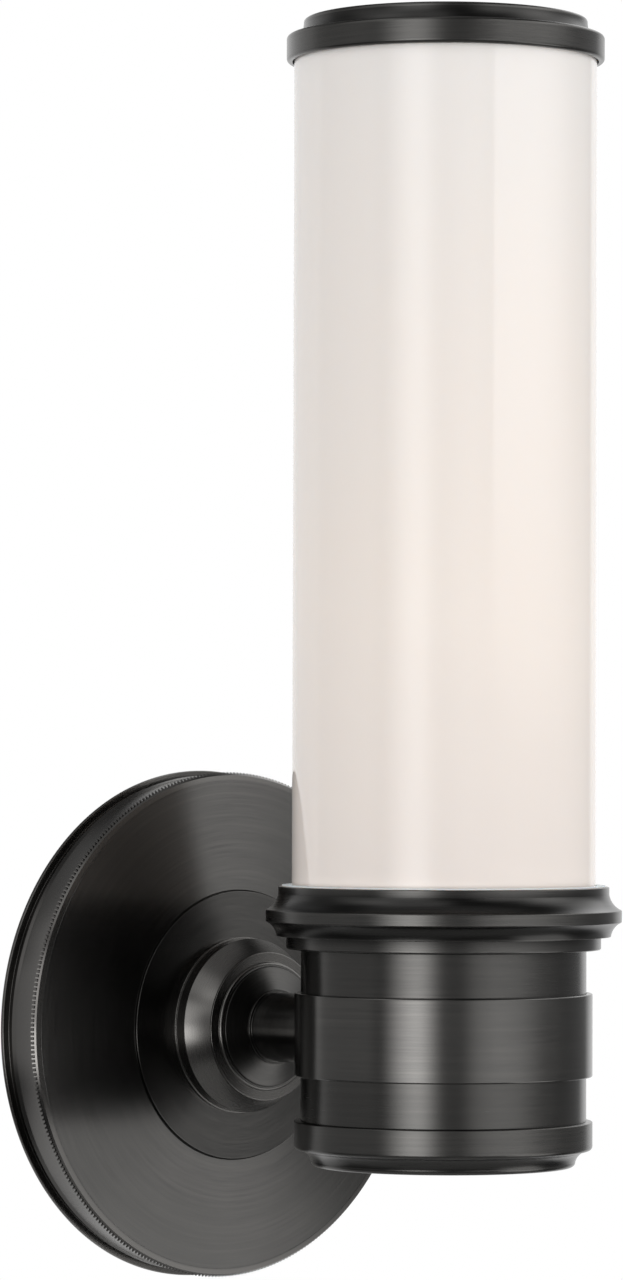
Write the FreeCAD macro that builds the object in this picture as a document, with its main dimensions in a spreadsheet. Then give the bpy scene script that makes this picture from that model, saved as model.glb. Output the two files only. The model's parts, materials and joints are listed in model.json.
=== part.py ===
import FreeCAD, Part
import math
import os
import re
import Sketcher

# Bathroom wall sconce: a round backplate with a milled edge, a short arm, a turned lamp body
# and a tall opal glass cylinder under a metal cap.
# The origin is the centre of the backplate's back face, on the wall. +Z is up, the room is
# towards -Y. Heights are measured from the arm's axis, depths from the wall into the room.

Vector = FreeCAD.Vector
Placement = FreeCAD.Placement
Rotation = FreeCAD.Rotation

# Driving sizes in millimetres, each with its name in the sheet
SIZES = [
    # General
    ("cut_over", 1.0),             # how far a cut runs past the face that it opens
    ("thread_gap", 0.05),          # radial clearance where one thread turns in another
    ("hole_gap", 0.15),            # radial clearance of a rod in a plain hole
    ("spigot_gap", 0.05),          # radial clearance of a spigot in a tube
    ("soft_gap", 0.1),             # clearance round a soft or loose inner piece
    ("quarter_bulge_share", math.tan(math.pi / 8)),
    # Backplate
    ("plate_radius", 63.5),
    ("plate_wall", 2.4),
    ("flange_thick", 1.0),
    ("waist_inset", 2.9),
    ("flare_inset", 1.0),          # where the hollow side ends, under the milled edge
    ("flare_bulge_share", 0.09),
    ("rim_depth", 12.7),           # the milled edge's front face
    ("face_rise", 2.8),            # from the milled edge to the foot of the raised disc
    ("disc_radius", 33.4),
    ("disc_thick", 0.9),
    # Milled edge
    ("milled_inset", 0.3),
    ("milled_band", 2.2),
    ("milled_width", 1.3),
    ("notch_depth", 0.5),
    ("notch_pitch", 1.1),
    # Wall strap
    ("strap_width", 22.0),
    ("strap_thick", 2.0),
    ("strap_end_gap", 1.0),        # from each bent ear to the backplate's bore
    ("ear_width", 14.0),
    ("ear_tip", 3.6),              # how far each ear runs past its screw's axis
    ("ear_shoulder", 5.0),         # how far in from its ends the strap is narrowed
    ("slot_end_gap", 0.5),         # the slots take box screws 70 mm to 89 mm apart
    ("slot_length", 24.0),
    ("slot_radius", 2.4),
    ("strap_hole_radius", 5.0),
    # Ground screw
    ("ground_slot_gap", 7.7),      # from the lower slot up to the screw's axis
    ("ground_head_radius", 3.6),
    ("ground_head_thick", 2.2),
    ("ground_shank_radius", 1.9),
    # Screws that hold the backplate to the strap's ears
    ("side_screw_depth", 6.4),
    ("side_screw_radius", 2.0),
    ("side_screw_tail", 2.8),      # how far each screw stands out inside its ear
    ("side_screw_sink", 0.1),
    ("side_slot_width", 0.8),
    ("side_slot_depth", 1.1),
    # Rosette
    ("rosette_radius", 22.0),
    ("rosette_edge_thick", 0.5),
    ("ovolo_step", 1.7),
    ("ovolo_rise", 2.3),
    ("neck_step", 2.5),
    ("neck_rise", 5.4),
    ("ovolo_bulge_share", 0.24),
    ("bead_foot_rise", 0.7),
    ("bead_step", 1.7),
    ("bead_rise", 2.2),
    ("bead_bulge_share", 0.38),
    # Boss at the arm's root
    ("boss_step", 1.3),
    ("boss_edge_thick", 0.4),
    ("boss_rise", 1.9),
    # Arm
    ("arm_radius", 8.6),
    ("arm_collar_step", 0.7),
    ("arm_collar_width", 0.7),
    ("lamp_reach", 90.7),          # from the wall to the lamp's upright axis
    ("rod_radius", 4.85),
    ("rod_bore", 3.2),
    ("rod_tail", 1.0),             # length of rod past each nut
    ("nut_radius", 8.1),           # across corners
    ("nut_thick", 3.0),
    ("washer_radius", 9.0),
    ("washer_thick", 1.0),
    ("saddle_thick", 3.2),
    # Lamp body
    ("tube_radius", 34.3),
    ("tube_wall", 1.5),
    ("tube_top", 21.0),
    ("tube_drop", 20.2),           # from the arm's axis down to the tube's foot
    ("band_thick", 1.5),
    ("band_top", 10.5),
    ("band_drop", 9.4),
    ("band_edge", 0.4),
    ("spigot_height", 5.0),
    ("spigot_wall", 2.0),
    # Gallery that the glass stands in
    ("step_stand", 3.5),
    ("step_edge", 0.5),
    ("step_height", 3.1),
    ("lower_cove_stand", 0.4),     # of the cove's root past the rim above it
    ("lower_cove_height", 3.5),
    ("lower_cove_bulge_share", 0.27),
    ("belt_stand", 3.0),
    ("belt_height", 2.8),
    ("upper_cove_height", 3.8),
    ("upper_cove_bulge_share", 0.26),
    ("rim_wall", 2.45),
    ("rim_height", 1.8),
    ("cup_depth", 10.4),
    ("cup_floor_thick", 2.6),
    ("cup_hole_gap", 0.5),
    # Glass shade
    ("glass_radius", 36.5),
    ("glass_wall", 3.0),
    ("glass_height", 211.8),
    ("glass_floor_thick", 3.5),
    ("glass_hole_gap", 1.15),
    ("glass_foot_round", 1.8),
    ("glass_inner_round", 2.5),
    ("glass_side_gap", 0.8),
    # Gasket under and around the foot of the glass
    ("gasket_thick", 0.8),
    ("gasket_hole_gap", 0.7),
    ("gasket_lip_thick", 0.35),
    ("gasket_lip_width", 1.6),
    ("shade_gap", 0.3),            # between the glass and the gasket round it
    # Base ring and foot
    ("base_stand", 1.5),
    ("base_height", 5.8),
    ("base_edge_round", 1.0),
    ("base_taper_height", 1.4),
    ("base_floor_thick", 3.0),
    ("foot_top_inset", 0.7),
    ("foot_waist_step", 1.9),
    ("foot_waist_height", 2.4),
    ("foot_cove_bulge_share", 0.2),
    ("foot_bottom_step", 1.1),
    ("foot_bottom_height", 1.2),
    ("foot_round_bulge_share", 0.4),
    ("foot_wall", 1.8),
    ("foot_hub_wall", 3.1),
    # Lampholder
    ("holder_body_wall", 3.75),
    ("holder_thread_wall", 5.9),
    ("holder_shoulder_width", 2.85),
    ("holder_shoulder_thick", 3.0),
    ("holder_neck_height", 15.0),
    ("holder_bore_depth", 31.0),
    ("holder_base_thick", 21.0),
    ("shell_wall", 0.5),
    ("shell_height", 26.0),
    ("shell_hole_radius", 6.5),
    ("tongue_length", 9.0),
    ("tongue_width", 5.0),
    ("tongue_thick", 0.6),
    ("tongue_rise", 1.6),
    # Bracket and stem that carry the lampholder
    ("bracket_length", 32.0),
    ("bracket_width", 12.0),
    ("bracket_thick", 1.6),
    ("bracket_hub_wall", 2.1),
    ("bracket_hub_height", 5.0),
    ("bracket_screw_spacing", 24.0),
    ("bracket_screw_radius", 1.75),
    ("bracket_screw_head_radius", 3.2),
    ("bracket_screw_head_thick", 2.0),
    ("bracket_screw_length", 8.0),
    ("stem_radius", 4.85),
    ("stem_bore", 3.2),
    ("stem_grip", 2.2),            # length of stem that turns into the foot
    # Ring that clamps the glass
    ("ring_flange_width", 7.75),
    ("ring_flange_thick", 2.2),
    ("ring_collar_wall", 2.65),
    ("ring_height", 7.5),
    ("ring_notch_radius", 2.2),
    # Cap
    ("cap_side_gap", 0.4),
    ("cap_skirt_wall", 1.4),
    ("cap_skirt_depth", 3.8),
    ("cap_top_thick", 1.8),
    ("cap_round", 0.8),
    ("cap_liner_thick", 0.6),
    ("cap_seat_width", 5.9),
    ("lid_inset", 3.4),
    ("lid_flare_step", 0.7),
    ("lid_flare_height", 3.3),
    ("lid_flare_bulge_share", 0.1),
    ("lid_round", 0.7),
    ("lid_wall", 2.0),
    ("lid_spigot_depth", 1.8),
    ("lid_spigot_wall", 1.5),
    ("cap_screw_stand", 3.6),      # from the cap's bore out to its screws
    ("cap_screw_radius", 1.2),
    ("cap_screw_head_radius", 1.8),
    ("cap_screw_head_thick", 1.4),
    ("cap_screw_grip", 2.0),       # length of screw in the lid
    # Lamp
    ("lamp_shell_radius", 13.1),
    ("lamp_shell_height", 23.4),
    ("lamp_shell_gap", 0.1),       # radial, where the lamp's thread turns in its shell
    ("lamp_shell_wall", 0.4),
    ("lamp_radius", 16.0),
    ("lamp_neck_gap", 0.3),
    ("lamp_neck_height", 4.0),     # from the metal cap to where the glass widens
    ("lamp_shoulder_height", 14.0),
    ("lamp_tube_height", 98.0),
    ("lamp_tip_radius", 4.6),
    ("lamp_glass_stand", 2.4),
    ("lamp_glass_wall", 0.8),
    ("lamp_tip_gap", 0.3),
    ("lamp_insulator_height", 2.2),
    ("lamp_insulator_grip", 1.2),  # how far the insulator reaches into the metal cap
    ("lamp_tip_height", 0.9),
    ("stem_tube_radius", 4.5),
    ("stem_tube_length", 44.2),
    ("filament_radius", 0.9),
    ("filament_circle", 3.2),
    ("filament_length", 58.0),
    # Leads and their connectors
    ("lead_radius", 1.05),
    ("lead_offset", 1.3),
    ("lead_bend", 2.8),
    ("lead_turn_reach", 21.4),     # from the lamp's axis to the leads' upright run
    ("lead_hang", 2.4),            # below the bracket
    ("lead_end_reach", 10.0),      # from the lamp's axis to where the leads enter its holder
    ("lead_entry", 2.0),
    ("connector_start", 19.0),
    ("connector_length", 20.0),
    ("connector_radius", 5.6),
    ("connector_tip_radius", 4.2),
    ("connector_wall_gap", 0.6),
    ("connector_bore_depth", 14.0),
    ("connector_grip", 9.0),       # length of lead inside its connector
    ("connector_skirt", 7.0),
    ("ground_lead_rise_start", 8.0),
    ("ground_lead_rise_length", 5.0),
]

# Sizes worked out from those above: depths from the wall, heights from the arm's axis
SUMS = {
    # Backplate, strap and their screws
    "waist_radius": "plate_radius - waist_inset",
    "plate_bore": "waist_radius - plate_wall",
    "flare_radius": "plate_radius - flare_inset",
    "milled_radius": "plate_radius - milled_inset",
    "milled_bore": "milled_radius - milled_band",
    "flare_depth": "rim_depth - milled_width",
    "face_depth": "rim_depth + face_rise",
    "disc_depth": "face_depth + disc_thick",
    "ceiling": "disc_depth - plate_wall",
    "strap_reach": "plate_bore - strap_end_gap",
    "ear_inside": "strap_reach - strap_thick",
    "ear_length": "side_screw_depth + ear_tip",
    "side_screw_inner": "ear_inside - side_screw_tail",
    "side_screw_outer": "waist_radius - side_screw_sink",
    "slot_outer": "strap_reach - ear_shoulder - slot_end_gap",
    "slot_inner": "slot_outer - slot_length",
    "ground_drop": "slot_inner - ground_slot_gap",
    "ground_seat": "strap_thick + 2 * (lead_radius + soft_gap)",
    # Rosette, boss and arm
    "rosette_edge_depth": "disc_depth + rosette_edge_thick",
    "ovolo_radius": "rosette_radius - ovolo_step",
    "ovolo_depth": "rosette_edge_depth + ovolo_rise",
    "neck_radius": "ovolo_radius - neck_step",
    "neck_depth": "ovolo_depth + neck_rise",
    "bead_depth": "neck_depth + bead_foot_rise",
    "bead_inner_radius": "neck_radius - bead_step",
    "bead_top_depth": "bead_depth + bead_rise",
    "boss_radius": "bead_inner_radius - boss_step",
    "boss_edge_depth": "bead_top_depth + boss_edge_thick",
    "boss_depth": "boss_edge_depth + boss_rise",
    "arm_collar_radius": "arm_radius + arm_collar_step",
    "arm_end": "lamp_reach - sqrt(band_radius^2 - arm_radius^2) + cut_over",
    # Rod
    "rod_hole": "rod_radius + hole_gap",
    "nut_hole": "rod_radius + thread_gap",
    "rear_washer_seat": "ceiling - washer_thick",
    "rear_nut_seat": "rear_washer_seat - nut_thick",
    "rod_rear": "rear_nut_seat - rod_tail",
    "wall_seat": "lamp_reach - tube_bore",
    "front_nut_seat": "wall_seat + saddle_thick",
    "rod_front": "front_nut_seat + nut_thick + rod_tail",
    # Lamp body
    "tube_bore": "tube_radius - tube_wall",
    "tube_foot": "-tube_drop",
    "band_radius": "tube_radius + band_thick",
    "band_foot": "-band_drop",
    "spigot": "tube_bore - spigot_gap",
    "spigot_bore": "spigot - spigot_wall",
    # Gallery and gasket
    "step_radius": "tube_radius + step_stand",
    "step_top": "tube_top + step_height",
    "lower_cove_radius": "rim_radius + lower_cove_stand",
    "belt_foot": "step_top + lower_cove_height",
    "belt_top": "belt_foot + belt_height",
    "belt_radius": "rim_radius + belt_stand",
    "rim_foot": "belt_top + upper_cove_height",
    "gallery_top": "rim_foot + rim_height",
    "cup_bore": "glass_radius + glass_side_gap",
    "rim_radius": "cup_bore + rim_wall",
    "cup_floor": "gallery_top - cup_depth",
    "cup_underside": "cup_floor - cup_floor_thick",
    "cup_hole": "holder_thread_radius + cup_hole_gap",
    "gasket_side": "cup_bore - soft_gap",
    "gasket_bore": "glass_hole_radius + gasket_hole_gap",
    "gasket_lip_radius": "cup_bore + gasket_lip_width",
    "gasket_top": "gallery_top + gasket_lip_thick",
    # Base ring and foot
    "base_radius": "tube_radius + base_stand",
    "base_edge": "tube_foot - base_height",
    "base_foot": "base_edge - base_taper_height",
    "floor_top": "base_foot + base_floor_thick",
    "foot_top_radius": "tube_radius - foot_top_inset",
    "foot_waist_radius": "foot_top_radius - foot_waist_step",
    "foot_bore": "foot_waist_radius - foot_wall",
    "foot_waist": "base_foot - foot_waist_height",
    "foot_bottom_radius": "foot_waist_radius - foot_bottom_step",
    "foot_bottom": "foot_waist - foot_bottom_height",
    "foot_inside": "foot_bottom + foot_wall",
    "foot_hub_radius": "stem_hole + foot_hub_wall",
    "foot_hole_end": "base_foot - stem_grip - soft_gap",
    # Lampholder, its shell, bracket and stem
    "shell_bore": "lamp_shell_radius + lamp_shell_gap",
    "shell_side": "shell_bore + shell_wall",
    "holder_bore": "shell_side + spigot_gap",
    "holder_radius": "holder_bore + holder_body_wall",
    "holder_thread_radius": "holder_bore + holder_thread_wall",
    "holder_shoulder_radius": "holder_thread_radius + holder_shoulder_width",
    "holder_shoulder_foot": "cup_underside - holder_shoulder_thick",
    "holder_top": "cup_underside + holder_neck_height",
    "holder_bore_floor": "holder_top - holder_bore_depth",
    "holder_foot": "holder_bore_floor - holder_base_thick",
    "tongue_tip": "holder_bore_floor + tongue_rise",
    "bracket_foot": "holder_foot - bracket_thick",
    "bracket_hub_radius": "stem_hole + bracket_hub_wall",
    "bracket_screw_seat": "bracket_foot - bracket_screw_head_thick",
    "bracket_screw_end": "holder_foot + bracket_screw_length",
    "stem_hole": "stem_radius + thread_gap",
    "stem_clear_hole": "stem_radius + hole_gap",
    # Glass and its ring
    "glass_foot": "cup_floor + gasket_thick",
    "glass_top": "glass_foot + glass_height",
    "glass_bore": "glass_radius - glass_wall",
    "glass_hole_radius": "holder_thread_radius + glass_hole_gap",
    "ring_seat": "glass_foot + glass_floor_thick",
    "ring_bore": "holder_thread_radius + 2 * thread_gap",
    "ring_radius": "ring_bore + ring_flange_width",
    "ring_collar_radius": "ring_bore + ring_collar_wall",
    # Cap
    "cap_side": "glass_radius + cap_side_gap",
    "cap_radius": "cap_side + cap_skirt_wall",
    "cap_foot": "glass_top - cap_skirt_depth",
    "cap_seat": "glass_top + cap_liner_thick",
    "cap_ring_top": "cap_seat + cap_top_thick",
    "cap_bore": "glass_bore - cap_seat_width",
    "cap_screw_circle": "cap_bore + cap_screw_stand",
    "cap_screw_foot": "cap_seat - cap_screw_head_thick",
    "cap_screw_end": "cap_ring_top + cap_screw_grip",
    "lid_spigot_radius": "cap_bore - spigot_gap",
    "lid_spigot_bore": "lid_spigot_radius - lid_spigot_wall",
    "lid_spigot_foot": "cap_ring_top - lid_spigot_depth",
    "lid_flare_radius": "cap_radius - lid_inset",
    "lid_radius": "lid_flare_radius - lid_flare_step",
    "lid_flare_top": "cap_ring_top + lid_flare_height",
    "lid_top": "lid_flare_top + lid_round",
    "lid_underside": "lid_top - lid_wall",
    # Lamp
    "tip_foot": "tongue_tip + tongue_thick + lamp_tip_gap",
    "insulator_foot": "tip_foot + lamp_tip_height",
    "lamp_shell_foot": "insulator_foot + lamp_insulator_height",
    "insulator_top": "lamp_shell_foot + lamp_insulator_grip",
    "lamp_shell_bore": "lamp_shell_radius - lamp_shell_wall",
    "lamp_shell_top": "lamp_shell_foot + lamp_shell_height",
    "lamp_neck_radius": "lamp_shell_bore - lamp_neck_gap",
    "lamp_neck_top": "lamp_shell_top + lamp_neck_height",
    "lamp_shoulder": "lamp_neck_top + lamp_shoulder_height",
    "lamp_top": "lamp_shoulder + lamp_tube_height",
    "lamp_glass_foot": "lamp_shell_foot + lamp_glass_stand",
    "lamp_glass_floor": "lamp_glass_foot + lamp_glass_wall",
    "stem_tube_top": "lamp_glass_floor + stem_tube_length",
    # Leads
    "lead_rear_depth": "connector_radius + connector_wall_gap",
    "lead_low": "bracket_foot - lead_hang",
    "ground_level": "-(ground_drop + ground_shank_radius + lead_radius + soft_gap)",
    "ground_depth": "strap_thick + lead_radius + soft_gap",
    "ground_lead_rise_end": "ground_lead_rise_start + ground_lead_rise_length",
}

HALF_ROUND = "1"    # the bulge of a half circle
FILAMENTS = 4
CAP_SCREWS = 3
NUT_SIDES = 6
RING_NOTCHES = 12
VOLUME_SHARE = 0.02
HALF = 0.5
FULL_TURN = 360.0

doc = FreeCAD.newDocument("BathroomSconce")
sheet = doc.addObject("Spreadsheet::Sheet", "Sizes")
for row, (alias, number) in enumerate(SIZES, start=1):
    sheet.set("A%d" % row, alias)
    sheet.set("B%d" % row, str(number))
    sheet.setAlias("B%d" % row, alias)
doc.recompute()
NAMES = {alias for alias, number in SIZES}
parts = []


def tied(text):
    """Write a sum out in the sheet's own sizes, each with the sheet's name before it."""
    def written_out(word):
        name = word.group()
        if name in SUMS:
            return "(%s)" % tied(SUMS[name])
        return "Sizes." + name if name in NAMES else name
    return re.sub(r"[a-z][a-z_]*", written_out, text)


def size(text):
    """Work out a sum of named sizes."""
    return float(sheet.evalExpression(tied(text)))


def keep(label, piece):
    """Name a sub-part and list it to be written."""
    piece.Label = label
    parts.append(piece)
    return piece


def on_arm(piece):
    """Turn a piece so that its own Z runs along the arm, from the wall into the room."""
    piece.Placement = Placement(Vector(), Rotation(Vector(1, 0, 0), FULL_TURN / 4))


def on_lamp(piece):
    """Set a piece on the lamp's upright axis."""
    piece.setExpression("Placement.Base.y", tied("-lamp_reach"))


def new_body(name, place):
    body = doc.addObject("PartDesign::Body", name)
    if place:
        place(body)
    return body


def flat_sketch(body, role, name, offset=None):
    """An empty sketch on one of the body's own planes."""
    plane = [item for item in body.Origin.OriginFeatures if item.Role == role][0]
    sketch = body.newObject("Sketcher::SketchObject", name)
    sketch.AttachmentSupport = [(plane, "")]
    sketch.MapMode = "FlatFace"
    if offset:
        sketch.setExpression("AttachmentOffset.Base.z", tied(offset))
        doc.recompute()
    return sketch


def pin_down(sketch, curve, end, corner):
    """Hold one point of a curve at a corner that is given as two sums, or None where it is free."""
    for text, kind, axis in ((corner[0], "DistanceX", -2), (corner[1], "DistanceY", -1)):
        if text is None:
            continue
        if text == "0":
            sketch.addConstraint(Sketcher.Constraint("PointOnObject", curve, end, axis))
        else:
            rule = sketch.addConstraint(Sketcher.Constraint(kind, -1, 1, curve, end, size(text)))
            sketch.setExpression("Constraints[%d]" % rule, tied(text))


def outline(sketch, corners):
    """Draw a closed outline. A corner is (x, y), or (x, y, bulge) where an arc leads to it.

    The bulge is the arc's height over half its chord, positive where the arc lies to the
    right of the way from the corner before.
    """
    points = [Vector(size(corner[0]), size(corner[1]), 0) for corner in corners]
    curves = []
    for index, corner in enumerate(corners):
        start, end = points[index - 1], points[index]
        if len(corner) == 2:
            curves.append((sketch.addGeometry(Part.LineSegment(start, end)), 1, 2))
            continue
        bulge = size(corner[2])
        chord = end - start
        right = Vector(chord.y, -chord.x, 0).normalize()
        rise = bulge * chord.Length * HALF
        radius = abs(chord.Length * HALF * (1 + bulge ** 2) / (2 * bulge))
        side = math.copysign(1, bulge)
        centre = (start + end) * HALF + right * (rise - side * radius)
        circle = Part.Circle(centre, Vector(0, 0, 1), radius)
        turns = [math.atan2(point.y - centre.y, point.x - centre.x) for point in (start, end)]
        if side < 0:
            turns.reverse()
        arc = sketch.addGeometry(Part.ArcOfCircle(circle, turns[0], turns[1]))
        curves.append((arc, 1, 2) if side > 0 else (arc, 2, 1))
        before = corners[index - 1]
        if corner[2] == HALF_ROUND:
            level = before[1] == corner[1]
            pin_down(sketch, arc, 3, (None, corner[1]) if level else (corner[0], None))
            continue
        rule = sketch.addConstraint(Sketcher.Constraint("Radius", arc, radius))
        across = "sqrt((%s - (%s))^2 + (%s - (%s))^2)" % (corner[0], before[0], corner[1], before[1])
        shape = "(1 + (%s)^2) / (4 * abs(%s))" % (corner[2], corner[2])
        sketch.setExpression("Constraints[%d]" % rule, tied("%s * %s" % (across, shape)))
    for index, (curve, head, tail) in enumerate(curves):
        before = curves[index - 1]
        sketch.addConstraint(Sketcher.Constraint("Coincident", before[0], before[2], curve, head))
        pin_down(sketch, curve, tail, corners[index])
    doc.recompute()


def spot(sketch, centre, radius):
    """Draw a circle whose centre is given as two sums."""
    circle = Part.Circle(Vector(size(centre[0]), size(centre[1]), 0), Vector(0, 0, 1), size(radius))
    curve = sketch.addGeometry(circle)
    pin_down(sketch, curve, 3, centre)
    rule = sketch.addConstraint(Sketcher.Constraint("Radius", curve, size(radius)))
    sketch.setExpression("Constraints[%d]" % rule, tied(radius))
    doc.recompute()


def turn_shape(body, corners):
    """Turn an outline of radius and height about the body's Z axis."""
    sketch = flat_sketch(body, "XZ_Plane", "Section")
    outline(sketch, corners)
    turning = body.newObject("PartDesign::Revolution", "Turning")
    turning.Profile = sketch
    turning.ReferenceAxis = (sketch, ["V_Axis"])
    turning.Angle = FULL_TURN
    doc.recompute()
    return body


def turned(label, place, corners):
    return keep(label, turn_shape(new_body(label, place), corners))


def pocket(body, role, draw, length=None, offset=None, upward=False):
    """Cut what draw puts on a plane: right through, or one way by a length."""
    before = body.Shape.Volume
    sketch = flat_sketch(body, role, "CutOutline", offset)
    draw(sketch)
    cut = body.newObject("PartDesign::Pocket", "Cut")
    cut.Profile = sketch
    cut.Reversed = upward
    if length:
        cut.setExpression("Length", tied(length))
    else:
        cut.Type = "ThroughAll"
        cut.Midplane = True
    doc.recompute()
    if body.Shape.Volume >= before:
        raise RuntimeError("A cut in %s takes nothing away" % body.Label)
    return cut


def cylinder(name, radius, height, place=None, foot="0"):
    """An upright cylinder of named sizes, its foot raised by a sum."""
    piece = doc.addObject("Part::Cylinder", name)
    piece.setExpression("Radius", tied(radius))
    piece.setExpression("Height", tied(height))
    if place:
        place(piece)
    if place is on_arm:
        piece.setExpression("Placement.Base.y", tied("-(%s)" % foot))
    else:
        piece.setExpression("Placement.Base.z", tied(foot))
    return piece


def combined(kind, name, base, tool):
    piece = doc.addObject(kind, name)
    piece.Base = base
    piece.Tool = tool
    doc.recompute()
    return piece


def hex_nut(name, place, foot, bore):
    """A hexagon nut with its lower face raised by a sum."""
    block = doc.addObject("Part::Prism", name + "Block")
    block.Polygon = NUT_SIDES
    block.setExpression("Circumradius", tied("nut_radius"))
    block.setExpression("Height", tied("nut_thick"))
    place(block)
    upright = place is on_lamp
    along, sign = ("z", "") if upright else ("y", "-")
    block.setExpression("Placement.Base." + along, tied("%s(%s)" % (sign, foot)))
    hole = cylinder(name + "Hole", bore, "nut_thick + 2 * cut_over", place, "%s - cut_over" % foot)
    return combined("Part::Cut", name, block, hole)


def group(label, pieces):
    """Put identical pieces in one sub-part as separate solids."""
    compound = doc.addObject("Part::Compound", label)
    compound.Links = pieces
    doc.recompute()
    return keep(label, compound)


def lead(label, route):
    """A round lead along straight runs joined by arcs of one radius."""
    radius, bend = size("lead_radius"), size("lead_bend")
    spine = []
    start = route[0]
    for before, corner, after in zip(route, route[1:], route[2:]):
        back = (before - corner).normalize()
        ahead = (after - corner).normalize()
        half_turn = (math.pi - back.getAngle(ahead)) * HALF
        trim = bend * math.tan(half_turn)
        entry, leave = corner + back * trim, corner + ahead * trim
        inward = (back + ahead).normalize()
        middle = corner + inward * (bend / math.cos(half_turn) - bend)
        spine.append(Part.LineSegment(start, entry).toShape())
        spine.append(Part.Arc(entry, middle, leave).toShape())
        start = leave
    spine.append(Part.LineSegment(start, route[-1]).toShape())
    path = Part.Wire(spine)
    ring = Part.Wire(Part.Circle(route[0], route[1] - route[0], radius).toShape())
    tube = path.makePipeShell([ring], True, False)
    expected = math.pi * radius ** 2 * path.Length
    if abs(tube.Volume - expected) > VOLUME_SHARE * expected:
        raise RuntimeError("%s does not fill its route" % label)
    piece = doc.addObject("Part::Feature", label)
    piece.Shape = tube
    return keep(label, piece)


def pad(body, role, draw, length, offset=None, both_ways=False, downward=False):
    """Raise what draw puts on a plane to a solid."""
    sketch = flat_sketch(body, role, "PadOutline", offset)
    draw(sketch)
    block = body.newObject("PartDesign::Pad", "Pad")
    block.Profile = sketch
    block.setExpression("Length", tied(length))
    block.Midplane = both_ways
    block.Reversed = downward
    doc.recompute()
    return block


def repeat_round(body, feature, count):
    """Repeat a cut round the body's Z axis."""
    pattern = body.newObject("PartDesign::PolarPattern", "Round")
    pattern.Originals = [feature]
    axis = [item for item in body.Origin.OriginFeatures if item.Role == "Z_Axis"][0]
    pattern.Axis = (axis, [""])
    pattern.Angle = FULL_TURN
    pattern.Occurrences = count
    body.Tip = pattern
    doc.recompute()


# Wall strap: a flat bar with an ear bent forward at each end, slots for the box's screws,
# a hole for the leads and a tapped hole in each ear
strap = new_body("mounting_strap", None)
pad(strap, "YZ_Plane", lambda sketch: outline(sketch, [
    ("0", "-strap_reach"),
    ("0", "strap_reach"),
    ("-ear_length", "strap_reach"),
    ("-ear_length", "ear_inside"),
    ("-strap_thick", "ear_inside"),
    ("-strap_thick", "-ear_inside"),
    ("-ear_length", "-ear_inside"),
    ("-ear_length", "-strap_reach"),
]), "strap_width", both_ways=True)


def strap_openings(sketch):
    for sign in ("", "-"):
        ends = ("slot_inner + slot_radius", "slot_outer - slot_radius")
        low, high = ends if not sign else ("-(%s)" % ends[1], "-(%s)" % ends[0])
        outline(sketch, [
            ("slot_radius", low, HALF_ROUND),
            ("slot_radius", high),
            ("-slot_radius", high, HALF_ROUND),
            ("-slot_radius", low),
        ])
        for side in ("", "-"):
            outline(sketch, [
                (side + "(ear_width / 2)", sign + "(strap_reach - ear_shoulder)"),
                (side + "(strap_width / 2 + cut_over)", sign + "(strap_reach - ear_shoulder)"),
                (side + "(strap_width / 2 + cut_over)", sign + "(strap_reach + cut_over)"),
                (side + "(ear_width / 2)", sign + "(strap_reach + cut_over)"),
            ])
    spot(sketch, ("0", "0"), "strap_hole_radius")
    spot(sketch, ("0", "-ground_drop"), "ground_shank_radius + thread_gap")


pocket(strap, "XZ_Plane", strap_openings)
pocket(strap, "XY_Plane", lambda sketch: spot(
    sketch, ("0", "-side_screw_depth"), "side_screw_radius + thread_gap"))
keep("mounting_strap", strap)

ground_screw = turned("ground_screw", on_arm, [
    ("0", "0"),
    ("ground_shank_radius", "0"),
    ("ground_shank_radius", "ground_seat"),
    ("ground_head_radius", "ground_seat"),
    ("ground_head_radius", "ground_seat + ground_head_thick"),
    ("0", "ground_seat + ground_head_thick"),
])
ground_screw.setExpression("Placement.Base.z", tied("-ground_drop"))

# Backplate: a thin flange at the wall, a hollow side that flares forward, a gently coned
# face and a raised disc. It is open at the back.
backplate = turned("backplate", on_arm, [
    ("plate_radius", "0"),
    ("plate_radius", "flange_thick"),
    ("waist_radius", "flange_thick"),
    ("flare_radius", "flare_depth", "-flare_bulge_share"),
    ("milled_bore", "flare_depth"),
    ("milled_bore", "rim_depth"),
    ("disc_radius", "face_depth"),
    ("disc_radius", "disc_depth"),
    ("rod_hole", "disc_depth"),
    ("rod_hole", "ceiling"),
    ("disc_radius", "ceiling"),
    ("plate_bore", "rim_depth - plate_wall"),
    ("plate_bore", "0"),
])
pocket(backplate, "XZ_Plane", lambda sketch: spot(
    sketch, ("0", "side_screw_depth"), "side_screw_radius + hole_gap"))


def milled_edge():
    """A ring pressed on the backplate's front edge, notched all round like a coin."""
    outer, bore = size("milled_radius"), size("milled_bore")
    root = outer - size("notch_depth")
    notches = round(2 * math.pi * outer / size("notch_pitch"))
    step = math.pi / notches
    points = []
    for index in range(2 * notches):
        reach = outer if index % 2 == 0 else root
        points.append(Vector(reach * math.cos(index * step), reach * math.sin(index * step), 0))
    edge = Part.makePolygon(points + points[:1])
    hole = Part.Wire(Part.Circle(Vector(), Vector(0, 0, 1), bore).toShape())
    face = Part.makeFace([edge, hole], "Part::FaceMakerBullseye")
    piece = doc.addObject("Part::Feature", "milled_edge")
    piece.Shape = face.extrude(Vector(0, 0, size("milled_width")))
    on_arm(piece)
    piece.setExpression("Placement.Base.y", tied("-flare_depth"))
    return keep("milled_edge", piece)


milled_edge()

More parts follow.
